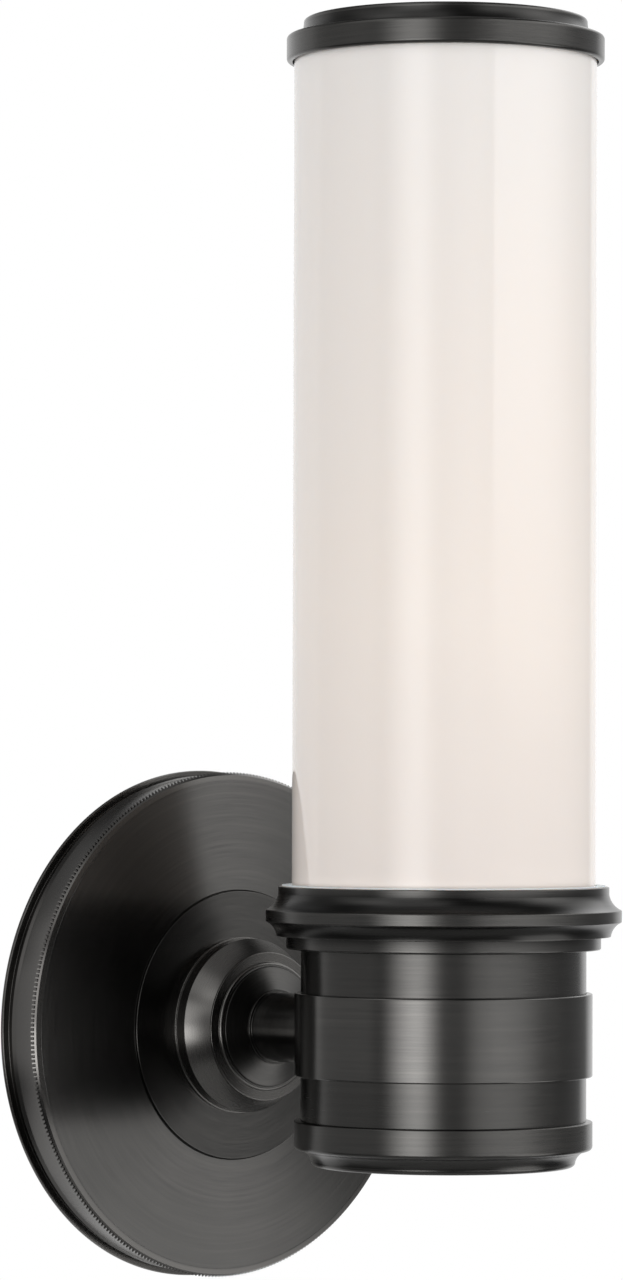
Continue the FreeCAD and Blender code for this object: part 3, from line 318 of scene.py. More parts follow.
def brushed_metal(name, axis, roughness=0.22, anisotropic=0.6, highlight_from=None, paleness=1.0):
    """Darkened metal with fine brush lines round an axis. Beyond a radius it is painted paler as a painted
    highlight, and in hollows it is painted near black as painted shade; paleness scales the whole tone.
    """
    material, tree, shader = principled(name)
    dark, light, worn, highlight_tone = ((*(part * paleness for part in tone[:3]), 1) for tone in METAL_TONES)
    place = put(tree, "ShaderNodeTexCoord").outputs["Object"]
    offset = vector_node(tree, "SUBTRACT", place, axis.origin)
    station = vector_node(tree, "DOT_PRODUCT", offset, axis.along)
    along = vector_node(tree, "SCALE", axis.along, scale=station)
    radial = vector_node(tree, "SUBTRACT", offset, along)
    radius = vector_node(tree, "LENGTH", radial)
    spoke = vector_node(tree, "NORMALIZE", radial)
    across = math_node(tree, "ADD", station, radius)
    steep = math_node(tree, "SUBTRACT", station, radius)

    def streaks(grain, turn, detail):
        """Noise that is drawn out round the axis."""
        round_axis = vector_node(tree, "SCALE", spoke, scale=turn)
        lift = put(tree, "ShaderNodeCombineXYZ", {"Y": math_node(tree, "MULTIPLY", steep, grain)})
        at = vector_node(tree, "ADD", round_axis, lift.outputs[0])
        inputs = {"Vector": at, "W": math_node(tree, "MULTIPLY", across, grain), "Detail": detail,
                  "Scale": 1.0}
        return put(tree, "ShaderNodeTexNoise", inputs, noise_dimensions="4D").outputs["Fac"]

    hairs = streaks(HAIR_GRAIN, HAIR_TURN, 2.0)
    bands = streaks(BAND_GRAIN, BAND_TURN, 1.0)
    cloud = noise(tree, place, METAL_CLOUD, 3.0)
    tone = mixed(tree, spread(tree, hairs, *HAIR_RANGE, 0.0, 1.0), dark, light)
    tone = mixed(tree, spread(tree, bands, *BAND_RANGE, 0.0, BAND_SHARE), tone, worn)
    tone = mixed(tree, spread(tree, cloud, *METAL_CLOUD_RANGE, 0.0, METAL_CLOUD_SHARE), tone, dark)
    # painted highlight: the metal is painted paler beyond a radius
    if highlight_from:
        highlight_share = spread(tree, radius, highlight_from, highlight_from + HIGHLIGHT_FADE, 0.0, 1.0)
        tone = mixed(tree, highlight_share, tone, highlight_tone)
    # painted shade: near black where the mesh marks hollow runs and notches
    hollow = put(tree, "ShaderNodeAttribute", attribute_name="hollow").outputs["Fac"]
    tone = mixed(tree, hollow, tone, METAL_PAINTED_SHADE)
    tree.links.new(tone, shader.inputs["Base Color"])
    rough = math_node(tree, "ADD", spread(tree, hairs, *HAIR_RANGE, -HAIR_ROUGHNESS, HAIR_ROUGHNESS),
                      spread(tree, cloud, *CLOUD_RANGE, roughness - METAL_CLOUD_ROUGHNESS,
                             roughness + METAL_CLOUD_ROUGHNESS))
    tree.links.new(rough, shader.inputs["Roughness"])
    bump = put(tree, "ShaderNodeBump", {"Height": hairs, "Strength": HAIR_BUMP, "Distance": HAIR_HEIGHT})
    tree.links.new(bump.outputs[0], shader.inputs["Normal"])
    letter = "XYZ"[max(range(3), key=lambda side: abs(axis.along[side]))]
    tangent = put(tree, "ShaderNodeTangent", direction_type="RADIAL", axis=letter)
    tree.links.new(tangent.outputs[0], shader.inputs["Tangent"])
    shader.inputs["Metallic"].default_value = 1.0
    shader.inputs["Anisotropic"].default_value = anisotropic
    shader.inputs["Anisotropic Rotation"].default_value = BRUSHED_ROUND
    return material


ROUGHNESS_CHANGE = 0.1
GRAIN_SCALE = 2500.0
GRAIN_HEIGHT = 0.00005   # metres


def mottled(name, dark, light, scale=60.0, roughness=0.4, metallic=0.0, grain=0.0, **settings):
    """A plain finish whose colour and roughness wander a little."""
    material, tree, shader = principled(name)
    place = put(tree, "ShaderNodeTexCoord").outputs["Object"]
    cloud = noise(tree, place, scale, 4.0)
    share = spread(tree, cloud, *CLOUD_RANGE, 0.0, 1.0)
    tree.links.new(mixed(tree, share, (*dark, 1), (*light, 1)), shader.inputs["Base Color"])
    change = roughness * ROUGHNESS_CHANGE
    rough = spread(tree, cloud, *CLOUD_RANGE, roughness - change, roughness + change)
    tree.links.new(rough, shader.inputs["Roughness"])
    if grain:
        fine = noise(tree, place, GRAIN_SCALE, 2.0)
        bump = put(tree, "ShaderNodeBump", {"Height": fine, "Strength": grain, "Distance": GRAIN_HEIGHT})
        tree.links.new(bump.outputs[0], shader.inputs["Normal"])
    shader.inputs["Metallic"].default_value = metallic
    for socket, value in settings.items():
        shader.inputs[socket.replace("_", " ")].default_value = value
    return material


# The glass's tone by height is painted light: a cream painted glow low down, a cooler top and painted shade
# toward its foot
GLASS_FOOT_SHADE = (0.752, 0.687, 0.645, 1)
GLASS_GLOW = (0.828, 0.753, 0.696, 1)
GLASS_TOP = (0.785, 0.750, 0.723, 1)
GLASS_COOLS = (0.12, 0.235)      # metres above the arm between which it turns cooler
GLASS_DULLS = (0.10, 0.03)       # and between which, downwards, it is painted darker, as painted shade
GLASS_CLOUD = 14.0
GLASS_DRIFT = 0.08
GLASS_ROUGHNESS = (0.04, 0.07)
GLASS_SETTINGS = {"IOR": 1.5, "Subsurface Weight": 0.25, "Subsurface Radius": (0.004, 0.0035, 0.003),
                  "Subsurface Scale": 1.0}


def opal_glass():
    """White cased glass painted by height: cooler toward the top, a cream painted glow lower down and
    painted shade at its foot.
    """
    material, tree, shader = principled("opal_glass")
    place = put(tree, "ShaderNodeTexCoord").outputs["Object"]
    height = put(tree, "ShaderNodeSeparateXYZ", {0: place}).outputs["Z"]
    cloud = noise(tree, place, GLASS_CLOUD, 2.0)
    drift = math_node(tree, "MULTIPLY", math_node(tree, "SUBTRACT", cloud, 0.5), GLASS_DRIFT)
    level = math_node(tree, "ADD", height, drift)
    rising = spread(tree, level, *GLASS_COOLS, 0.0, 1.0)
    falling = spread(tree, level, *GLASS_DULLS, 0.0, 1.0)
    tone = mixed(tree, rising, GLASS_GLOW, GLASS_TOP)
    tree.links.new(mixed(tree, falling, tone, GLASS_FOOT_SHADE), shader.inputs["Base Color"])
    tree.links.new(spread(tree, cloud, *CLOUD_RANGE, *GLASS_ROUGHNESS), shader.inputs["Roughness"])
    for socket, value in GLASS_SETTINGS.items():
        shader.inputs[socket].default_value = value
    return material


# painted highlight: the radii beyond which the rosette and the plate's rim are painted paler
ROSETTE_HIGHLIGHT_FROM = 15.5 * MM
PLATE_HIGHLIGHT_FROM = 61.0 * MM

lamp_metal_finish = brushed_metal("dark_metal_lamp", LAMP)
# darker copies of the lamp's metal as painted shade: less light falls on the tube and the trims than on the
# band
lamp_tube_shaded_finish = brushed_metal("dark_metal_tube_shaded", LAMP, roughness=0.25, anisotropic=0.5, paleness=0.78)
lamp_trim_shaded_finish = brushed_metal("dark_metal_trim_shaded", LAMP, roughness=0.28, anisotropic=0.5, paleness=0.86)
arm_metal_finish = brushed_metal("dark_metal_arm", ARM)
boss_finish = brushed_metal("dark_metal_boss", ARM, roughness=0.3, anisotropic=0.3, paleness=0.7)
rosette_finish = brushed_metal("dark_metal_rosette", ARM, roughness=0.27, anisotropic=0.25,
                               highlight_from=ROSETTE_HIGHLIGHT_FROM)
plate_finish = brushed_metal("dark_metal_plate", ARM, highlight_from=PLATE_HIGHLIGHT_FROM)
glass_finish = opal_glass()

PLAIN_FINISHES = {
    "clear_silicone": dict(dark=(0.80, 0.80, 0.78), light=(0.88, 0.88, 0.86), roughness=0.35, grain=0.1,
                           Subsurface_Weight=0.3),
    "plated_steel": dict(dark=(0.5, 0.5, 0.49), light=(0.66, 0.66, 0.65), scale=120.0, roughness=0.34,
                         metallic=1.0, grain=0.2),
    "ground_green": dict(dark=(0.03, 0.24, 0.07), light=(0.06, 0.34, 0.12), scale=90.0, roughness=0.35,
                         grain=0.1),
    "porcelain": dict(dark=(0.84, 0.83, 0.79), light=(0.9, 0.89, 0.86), scale=30.0, roughness=0.16,
                      Coat_Weight=0.5),
    "brass": dict(dark=(0.66, 0.47, 0.2), light=(0.8, 0.6, 0.3), scale=110.0, roughness=0.3, metallic=1.0,
                  grain=0.15),
    "white_plastic": dict(dark=(0.83, 0.82, 0.79), light=(0.88, 0.87, 0.84), scale=40.0, roughness=0.3,
                          grain=0.05),
    "lamp_metal": dict(dark=(0.62, 0.62, 0.61), light=(0.76, 0.76, 0.75), scale=140.0, roughness=0.32,
                       metallic=1.0, grain=0.15),
    "black_glass": dict(dark=(0.012, 0.012, 0.014), light=(0.03, 0.03, 0.035), roughness=0.12),
    "clear_glass": dict(dark=(0.94, 0.95, 0.95), light=(0.98, 0.98, 0.98), scale=20.0, roughness=0.03,
                        Transmission_Weight=1.0),
    "filament_coat": dict(dark=(0.75, 0.5, 0.08), light=(0.9, 0.66, 0.16), scale=400.0, roughness=0.5,
                          grain=0.2),
    "black_insulation": dict(dark=(0.012, 0.012, 0.012), light=(0.03, 0.03, 0.03), scale=200.0,
                             roughness=0.42, grain=0.1),
    "white_insulation": dict(dark=(0.78, 0.78, 0.75), light=(0.86, 0.86, 0.83), scale=200.0,
                             roughness=0.42, grain=0.1),
    "green_insulation": dict(dark=(0.02, 0.2, 0.06), light=(0.05, 0.28, 0.1), scale=200.0,
                             roughness=0.42, grain=0.1),
    "connector_plastic": dict(dark=(0.7, 0.26, 0.04), light=(0.82, 0.36, 0.08), scale=90.0,
                              roughness=0.45, grain=0.15),
}

# Finishes of the frame's own nodes that stay, by slot
FINISHES = {slot: mottled(slot, **settings) for slot, settings in PLAIN_FINISHES.items()}
FINISHES.update(dark_metal=arm_metal_finish, opal_glass=glass_finish)
for name, node in frame["nodes"].items():
    node.data.materials.clear()
    node.data.materials.append(FINISHES[SLOTS[name]])
frame["nodes"]["cap_screws"].data.materials[0] = lamp_metal_finish

# Backplate: a turned dish with a thin rear flange, a waist and a fine step in its side, and a raised disc
ROD_HOLE = 5.0
PLATE_WALL = 2.4
FLANGE_THICK = 1.0
WAIST_INSET = 1.8
WAIST_WIDTH = 1.5
SIDE_STEP_RISE = 0.6     # the fine step in front of the waist
SIDE_STEP_LIFT = 0.3
SIDE_STEP_REACH = 1.6
SIDE_STEP_FALL = 0.25
FLARE_INSET = 1.0        # the side flares out to this much less than the flange
FLARE_BULGE = 0.02
DISC_RADIUS = 33.4
DISC_THICK = 0.9
DISC_FALL = 0.4          # how far the disc falls from the rosette to its edge
GROOVE_WIDTH = 0.4       # the fine groove round the disc
GROOVE_DEPTH = 0.35
MILLED_BAND = 2.2

plate_radius = reach("backplate")
disc_depth = span("backplate", ARM)[1]
face_depth = disc_depth - DISC_THICK
milled_radius = reach("milled_edge")
milled_bore = milled_radius - MILLED_BAND
flare_depth, rim_depth = span("milled_edge", ARM)
face_slope = (face_depth - rim_depth) / (milled_bore - DISC_RADIUS)
waist_radius = plate_radius - WAIST_INSET
waist_end = FLANGE_THICK + WAIST_WIDTH
plate_bore = waist_radius - PLATE_WALL
ceiling = disc_depth - PLATE_WALL

backplate = lathe("backplate_shell", [
    Corner(plate_radius, 0),
    Corner(plate_radius, FLANGE_THICK),
    Corner(waist_radius, FLANGE_THICK, edge=FINE_EDGE),
    Corner(waist_radius, waist_end, edge=FINE_EDGE),
    Corner(waist_radius + SIDE_STEP_RISE, waist_end + SIDE_STEP_LIFT),
    Corner(waist_radius + SIDE_STEP_RISE - SIDE_STEP_FALL, waist_end + SIDE_STEP_REACH),
    Corner(plate_radius - FLARE_INSET, flare_depth, -FLARE_BULGE),
    Corner(milled_bore, flare_depth, edge=FINE_EDGE),
    Corner(milled_bore, rim_depth, edge=FINE_EDGE),
    Corner(DISC_RADIUS + GROOVE_WIDTH, face_depth - face_slope * GROOVE_WIDTH, edge=FINE_EDGE),
    Corner(DISC_RADIUS, face_depth - GROOVE_DEPTH, edge=FINE_EDGE),
    Corner(DISC_RADIUS, disc_depth - DISC_FALL, edge=FINE_EDGE),
    Corner(reach("rosette"), disc_depth, edge=FINE_EDGE),
    Corner(ROD_HOLE, disc_depth),
    Corner(ROD_HOLE, ceiling),
    Corner(DISC_RADIUS, ceiling),
    Corner(plate_bore, rim_depth - PLATE_WALL),
    Corner(plate_bore, 0),
], ARM)
stands_for(backplate, "backplate", plate_finish)

# Milled edge: a bevelled ring whose back part is cut into teeth
NOTCH_PITCH = 1.1
NOTCH_DEPTH = 0.85
NOTCH_STEPS = 12         # columns to the pitch
NOTCH_SHARE = 0.6        # how much of the pitch a notch takes
BEVEL_STEP = 0.8
BEVEL_RISE = 1.15
NOTCH_REACH = 0.4        # how far up the bevel the notches run at full depth
NOTCH_END = 0.62         # and where they end
NOTCH_DARKENS = 0.3      # the share of its depth from which a notch is painted dark, as painted shade
NOTCH_CONTRAST = 2
BEVEL_SHARES = (0, 0.2, NOTCH_REACH, 0.48, 0.56, NOTCH_END, 0.8, 1)
TOOTH_SHARP = math.radians(32)


def milled_edge():
    """A ring whose bevel is cut back at the notches, which are painted dark as painted shade."""
    notches = round(TURN * milled_radius / NOTCH_PITCH)
    columns = notches * NOTCH_STEPS
    turns = np.arange(columns) * TURN / columns
    phase = np.abs((np.arange(columns) / NOTCH_STEPS + 0.5) % 1 - 0.5) / (NOTCH_SHARE / 2)
    cut = np.sqrt(np.clip(1 - phase ** 4, 0, 1))
    front = rim_depth - face_slope * (milled_radius - BEVEL_STEP - milled_bore)
    rings = [(milled_bore * np.ones(columns), flare_depth, np.zeros(columns)),
             (milled_radius - NOTCH_DEPTH * cut, flare_depth, cut)]
    for share in BEVEL_SHARES:
        over = max(0, (share - NOTCH_REACH) / (NOTCH_END - NOTCH_REACH))
        left = math.sqrt(max(0, 1 - over ** 2))
        radii = milled_radius - BEVEL_STEP * share - NOTCH_DEPTH * cut * left
        rings.append((radii, front - BEVEL_RISE * (1 - share), cut * left))
    rings.append((milled_bore * np.ones(columns), rim_depth, np.zeros(columns)))
    spokes = np.column_stack((np.cos(turns), np.zeros(columns), np.sin(turns)))
    points = np.concatenate([spokes * radii[:, None] + (0, -station, 0) for radii, station, _ in rings])
    faces = []
    for row in range(len(rings)):
        start, following = row * columns, (row + 1) % len(rings) * columns
        for column in range(columns):
            beside = (column + 1) % columns
            faces.append((start + column, start + beside, following + beside, following + column))
    # painted shade: the deeper a notch is cut, the darker it is painted
    depths = np.concatenate([cuts for _, _, cuts in rings])
    dark = np.clip((depths - NOTCH_DARKENS) * NOTCH_CONTRAST, 0, 1)
    mesh = shaded_mesh("milled_teeth", points, faces, dark)
    mesh.set_sharp_from_angle(angle=TOOTH_SHARP)
    return in_scene(mesh)


stands_for(milled_edge(), "milled_edge", plate_finish)

# Rosette: a low foot, a side wall, a gentle cove up to a lip, and a bead
ROSETTE_FOOT_THICK = 0.8
ROSETTE_FOOT_STAND = 0.35
ROSETTE_WALL_HEIGHT = 3.0
COVE_STEP = 3.2
COVE_RISE = 6.0
COVE_BULGE = 0.07
LIP_THICK = 0.45
SHELF_STEP = 2.4
SHELF_RISE = 0.12
BEAD_STAND = 0.3
BEAD_RISE = 0.4
BEAD_BULGE = 0.3

rosette_radius = reach("rosette")
bead_top = span("rosette", ARM)[1]
wall_radius = rosette_radius - ROSETTE_FOOT_STAND
wall_foot = disc_depth + ROSETTE_FOOT_THICK
wall_top = wall_foot + ROSETTE_WALL_HEIGHT
lip_radius = wall_radius - COVE_STEP
lip_foot = wall_top + COVE_RISE
shelf_radius = lip_radius - SHELF_STEP
shelf_depth = lip_foot + LIP_THICK + SHELF_RISE
bead_radius = reach("arm_boss") + BEAD_STAND

rosette = lathe("rosette_turned", [
    Corner(ROD_HOLE, disc_depth),
    Corner(rosette_radius, disc_depth, edge=FINE_EDGE),
    Corner(rosette_radius, wall_foot),
    Corner(wall_radius, wall_foot, edge=FINE_EDGE),
    Corner(wall_radius, wall_top, edge=FINE_EDGE),
    Corner(lip_radius, lip_foot, -COVE_BULGE, FINE_EDGE),
    Corner(lip_radius, lip_foot + LIP_THICK),
    Corner(shelf_radius, shelf_depth, edge=FINE_EDGE),
    Corner(shelf_radius, shelf_depth + BEAD_RISE),
    Corner(bead_radius, bead_top, BEAD_BULGE, FINE_EDGE),
    Corner(ROD_HOLE, bead_top),
], ARM)
stands_for(rosette, "rosette", rosette_finish)

# Boss and arm
BOSS_EDGE_THICK = 0.4
ARM_RADIUS = 8.6
ARM_COLLAR_WIDTH = 0.7

boss_radius = reach("arm_boss")
boss_depth = span("arm_boss", ARM)[1]
collar_radius = reach("arm_tube")
collar_end = boss_depth + ARM_COLLAR_WIDTH
band_radius = reach("centre_band")

boss = lathe("boss_turned", [
    Corner(ROD_HOLE, bead_top),
    Corner(boss_radius, bead_top, edge=FINE_EDGE),
    Corner(boss_radius, bead_top + BOSS_EDGE_THICK, edge=FINE_EDGE),
    Corner(collar_radius, boss_depth, edge=FINE_EDGE),
    Corner(ROD_HOLE, boss_depth),
], ARM)
stands_for(boss, "arm_boss", boss_finish)


def arm_on_band():
    """The arm, with its far end hollowed to sit on the round band."""
    far = LAMP_REACH / MM
    piece = lathe("arm_turned", [
        Corner(ROD_HOLE, boss_depth),
        Corner(collar_radius, boss_depth, edge=FINE_EDGE),
        Corner(collar_radius, collar_end, edge=FINE_EDGE),
        Corner(ARM_RADIUS, collar_end, edge=FINE_EDGE),
        Corner(ARM_RADIUS, far, edge=0),
        Corner(ROD_HOLE, far, edge=0),
    ], ARM)
    for vertex in piece.data.vertices:
        seat = -LAMP_REACH + math.sqrt((band_radius * MM) ** 2 - vertex.co.x ** 2)
        vertex.co.y = max(vertex.co.y, seat)
    return piece


stands_for(arm_on_band(), "arm_tube", arm_metal_finish)

# Lamp body: tube, band, gallery, gasket, base ring and foot
# painted shade in the hollow runs of the gallery, the foot and the lid
COVE_PAINTED_SHADE = 0.6
TUBE_WALL = 1.5
BAND_EDGE = 0.4
SPIGOT_GAP = 0.05
SPIGOT_WALL = 2.0
SPIGOT_HEIGHT = 5.0
STEP_STAND = 3.5
STEP_EDGE = 0.5
STEP_HEIGHT = 3.1
LOWER_COVE_STAND = 0.4
LOWER_COVE_HEIGHT = 3.5
LOWER_COVE_BULGE = 0.27
BELT_STAND = 3.0
BELT_HEIGHT = 2.8
UPPER_COVE_BULGE = 0.26
RIM_HEIGHT = 1.8
RIM_WALL = 2.45
CUP_DEPTH = 10.4
CUP_FLOOR_THICK = 2.6
CUP_HOLE = 20.15

tube_radius = reach("body_tube")
tube_foot, tube_top = span("body_tube", LAMP)
tube_bore = tube_radius - TUBE_WALL
spigot = tube_bore - SPIGOT_GAP
spigot_bore = spigot - SPIGOT_WALL
band_foot, band_top = span("centre_band", LAMP)
belt_radius = reach("gallery")
rim_radius = belt_radius - BELT_STAND
cup_bore = rim_radius - RIM_WALL
gallery_top = span("gallery", LAMP)[1]
cup_floor = gallery_top - CUP_DEPTH
step_radius = tube_radius + STEP_STAND
step_top = tube_top + STEP_HEIGHT
belt_foot = step_top + LOWER_COVE_HEIGHT
belt_top = belt_foot + BELT_HEIGHT

body_tube = lathe("body_tube_turned", [
    Corner(tube_bore, tube_foot),
    Corner(tube_radius, tube_foot),
    Corner(tube_radius, tube_top),
    Corner(tube_bore, tube_top),
], LAMP)
stands_for(body_tube, "body_tube", lamp_tube_shaded_finish)

centre_band = lathe("centre_band_turned", [
    Corner(tube_radius, band_foot, edge=0),
    Corner(band_radius, band_foot, edge=BAND_EDGE),
    Corner(band_radius, band_top, edge=BAND_EDGE),
    Corner(tube_radius, band_top, edge=0),
], LAMP)
stands_for(centre_band, "centre_band", lamp_metal_finish)

gallery = lathe("gallery_turned", [
    Corner(CUP_HOLE, cup_floor - CUP_FLOOR_THICK),
    Corner(spigot_bore, cup_floor - CUP_FLOOR_THICK),
    Corner(spigot_bore, tube_top - SPIGOT_HEIGHT),
    Corner(spigot, tube_top - SPIGOT_HEIGHT),
    Corner(spigot, tube_top, edge=0),
    Corner(step_radius, tube_top, edge=STEP_EDGE),
    Corner(step_radius, step_top),
    Corner(rim_radius + LOWER_COVE_STAND, step_top, edge=FINE_EDGE),
    Corner(belt_radius, belt_foot, -LOWER_COVE_BULGE),
    Corner(belt_radius, belt_top),
    Corner(rim_radius, gallery_top - RIM_HEIGHT, -UPPER_COVE_BULGE, FINE_EDGE),
    Corner(rim_radius, gallery_top),
    Corner(cup_bore, gallery_top, edge=FINE_EDGE),
    Corner(cup_bore, cup_floor),
    Corner(CUP_HOLE, cup_floor),
], LAMP, COVE_PAINTED_SHADE)
stands_for(gallery, "gallery", lamp_trim_shaded_finish)

GASKET_GAP = 0.1
GASKET_THICK = 0.8
GASKET_WALL = 0.4
GASKET_BORE = 21.5

gasket_lip_radius = reach("shade_gasket")
gasket_top = span("shade_gasket", LAMP)[1]
gasket_side = cup_bore - GASKET_GAP

gasket = lathe("shade_gasket_moulded", [
    Corner(GASKET_BORE, cup_floor, edge=FINE_EDGE),
    Corner(gasket_side, cup_floor, edge=FINE_EDGE),
    Corner(gasket_side, gallery_top, edge=0),
    Corner(gasket_lip_radius, gallery_top, edge=FINE_EDGE),
    Corner(gasket_lip_radius, gasket_top, edge=FINE_EDGE),
    Corner(gasket_side - GASKET_WALL, gasket_top, edge=FINE_EDGE),
    Corner(gasket_side - GASKET_WALL, cup_floor + GASKET_THICK, edge=FINE_EDGE),
    Corner(GASKET_BORE, cup_floor + GASKET_THICK, edge=FINE_EDGE),
], LAMP)
stands_for(gasket, "shade_gasket", FINISHES["clear_silicone"])

BASE_HEIGHT = 5.8
BASE_EDGE_ROUND = 1.0
BASE_FLOOR_THICK = 3.0
FOOT_TOP_INSET = 0.7
FOOT_WAIST_STEP = 1.9
FOOT_WAIST_HEIGHT = 2.4
FOOT_COVE_BULGE = 0.2
FOOT_BOTTOM_STEP = 1.1
FOOT_ROUND_BULGE = 0.4
FOOT_WALL = 1.8
FOOT_HUB_WALL = 3.1
STEM_HOLE = 4.9
STEM_GRIP = 2.3

base_radius = reach("base_ring")
base_foot = span("base_ring", LAMP)[0]
base_edge = tube_foot - BASE_HEIGHT
foot_bottom = span("foot_cap", LAMP)[0]
foot_top_radius = tube_radius - FOOT_TOP_INSET
foot_waist_radius = foot_top_radius - FOOT_WAIST_STEP
foot_bore = foot_waist_radius - FOOT_WALL
foot_hub_radius = STEM_HOLE + FOOT_HUB_WALL

base_ring = lathe("base_ring_turned", [
    Corner(ROD_HOLE, base_foot),
    Corner(foot_top_radius, base_foot, edge=FINE_EDGE),
    Corner(base_radius - BASE_EDGE_ROUND, base_edge - BASE_EDGE_ROUND),
    Corner(base_radius, base_edge, QUARTER),
    Corner(base_radius, tube_foot),
    Corner(spigot, tube_foot, edge=0),
    Corner(spigot, tube_foot + SPIGOT_HEIGHT),
    Corner(spigot_bore, tube_foot + SPIGOT_HEIGHT),
    Corner(spigot_bore, base_foot + BASE_FLOOR_THICK),
    Corner(ROD_HOLE, base_foot + BASE_FLOOR_THICK),
], LAMP)
stands_for(base_ring, "base_ring", lamp_trim_shaded_finish)

foot_cap = lathe("foot_cap_turned", [
    Corner(0, foot_bottom, edge=0),
    Corner(foot_waist_radius - FOOT_BOTTOM_STEP, foot_bottom),
    Corner(foot_waist_radius, base_foot - FOOT_WAIST_HEIGHT, FOOT_ROUND_BULGE, FINE_EDGE),
    Corner(foot_top_radius, base_foot, -FOOT_COVE_BULGE),
    Corner(foot_bore, base_foot),
    Corner(foot_bore, foot_bottom + FOOT_WALL),
    Corner(foot_hub_radius, foot_bottom + FOOT_WALL),
    Corner(foot_hub_radius, base_foot),
    Corner(STEM_HOLE, base_foot),
    Corner(STEM_HOLE, base_foot - STEM_GRIP),
    Corner(0, base_foot - STEM_GRIP, edge=0),
], LAMP, COVE_PAINTED_SHADE / 2)
stands_for(foot_cap, "foot_cap", lamp_trim_shaded_finish)

# Glass shade: an opal tube with a floor that the threaded ring clamps
GLASS_WALL = 3.0
GLASS_HOLE = 20.8
GLASS_FLOOR_THICK = 3.5
GLASS_FOOT_ROUND = 1.8
GLASS_INNER_ROUND = 2.5

glass_radius = reach("glass_shade")
glass_bore = glass_radius - GLASS_WALL
glass_foot, glass_top = span("glass_shade", LAMP)
ring_seat = glass_foot + GLASS_FLOOR_THICK

glass = lathe("glass_shade_blown", [
    Corner(GLASS_HOLE, glass_foot),
    Corner(glass_radius - GLASS_FOOT_ROUND, glass_foot),
    Corner(glass_radius, glass_foot + GLASS_FOOT_ROUND, QUARTER),
    Corner(glass_radius, glass_top),
    Corner(glass_bore, glass_top),
    Corner(glass_bore, ring_seat + GLASS_INNER_ROUND),
    Corner(glass_bore - GLASS_INNER_ROUND, ring_seat, -QUARTER),
    Corner(GLASS_HOLE, ring_seat),
], LAMP)
stands_for(glass, "glass_shade", glass_finish)

# Cap: a ring over the glass, and a lid on it
CAP_SIDE_GAP = 0.4
CAP_BORE = 27.6
CAP_SEAT_GAP = 0.6
CAP_ROUND = 0.8
LID_FLARE_STEP = 0.7
LID_FLARE_BULGE = 0.1
LID_ROUND = 0.7
LID_WALL = 2.0
LID_SPIGOT_WALL = 1.5

cap_radius = reach("cap_ring")
cap_foot, cap_ring_top = span("cap_ring", LAMP)
cap_side = glass_radius + CAP_SIDE_GAP
lid_spigot_foot, lid_top = span("cap_lid", LAMP)
lid_flare_radius = reach("cap_lid")
lid_spigot = CAP_BORE - SPIGOT_GAP
lid_radius = lid_flare_radius - LID_FLARE_STEP

cap_ring = lathe("cap_ring_turned", [
    Corner(cap_side, cap_foot, edge=FINE_EDGE),
    Corner(cap_radius - CAP_ROUND, cap_foot, edge=FINE_EDGE),
    Corner(cap_radius, cap_foot + CAP_ROUND, QUARTER),
    Corner(cap_radius, cap_ring_top - CAP_ROUND),
    Corner(cap_radius - CAP_ROUND, cap_ring_top, QUARTER),
    Corner(CAP_BORE, cap_ring_top),
    Corner(CAP_BORE, glass_top + CAP_SEAT_GAP),
    Corner(cap_side, glass_top + CAP_SEAT_GAP),
], LAMP)
stands_for(cap_ring, "cap_ring", lamp_trim_shaded_finish)

cap_lid = lathe("cap_lid_turned", [
    Corner(0, lid_top - LID_WALL, edge=0),
    Corner(lid_spigot - LID_SPIGOT_WALL, lid_top - LID_WALL),
    Corner(lid_spigot - LID_SPIGOT_WALL, lid_spigot_foot),
    Corner(lid_spigot, lid_spigot_foot),
    Corner(lid_spigot, cap_ring_top, edge=0),
    Corner(lid_flare_radius, cap_ring_top, edge=FINE_EDGE),
    Corner(lid_radius, lid_top - LID_ROUND, -LID_FLARE_BULGE),
    Corner(lid_radius - LID_ROUND, lid_top, QUARTER),
    Corner(0, lid_top, edge=0),
], LAMP, COVE_PAINTED_SHADE)
stands_for(cap_lid, "cap_lid", lamp_trim_shaded_finish)

# Studio
FLOOR_DROP = 1.6         # metres below the arm
FLOOR_RADIUS = 2.2       # metres
FLOOR_FADE = 1.2         # metres out, where the floor begins to fade into the backdrop
FLOOR_SIDES = 96
FLOOR_TONES = (0.66, 0.70)
FLOOR_CLOUD = 3.0
FLOOR_ROUGHNESS = 0.9


def pale_floor():
    """A round pale floor that shows from above only and fades into the backdrop."""
    rim = [(FLOOR_RADIUS * math.cos(turn), FLOOR_RADIUS * math.sin(turn), -FLOOR_DROP)
           for turn in np.arange(FLOOR_SIDES) * TURN / FLOOR_SIDES]
    mesh = bpy.data.meshes.new("floor")
    mesh.from_pydata(rim, [], [tuple(range(FLOOR_SIDES))])
    floor = in_scene(mesh)
    material, tree, shader = principled("floor")
    shader.inputs["Roughness"].default_value = FLOOR_ROUGHNESS
    place = put(tree, "ShaderNodeTexCoord").outputs["Object"]
    cloud = noise(tree, place, FLOOR_CLOUD, 3.0)
    tree.links.new(mixed(tree, cloud, *map(grey, FLOOR_TONES)), shader.inputs["Base Color"])
    away = vector_node(tree, "LENGTH", vector_node(tree, "MULTIPLY", place, (1, 1, 0)))
    inputs = {"Value": away, "From Min": FLOOR_FADE, "From Max": FLOOR_RADIUS}
    fade = put(tree, "ShaderNodeMapRange", inputs, interpolation_type="SMOOTHSTEP").outputs[0]
    behind = put(tree, "ShaderNodeNewGeometry").outputs["Backfacing"]
    clear = put(tree, "ShaderNodeBsdfTransparent")
    share = math_node(tree, "MAXIMUM", fade, behind)
    both = put(tree, "ShaderNodeMixShader", {0: share, 1: shader.outputs[0], 2: clear.outputs[0]})
    tree.links.new(both.outputs[0], tree.nodes["Material Output"].inputs["Surface"])
    floor.data.materials.append(material)


pale_floor()

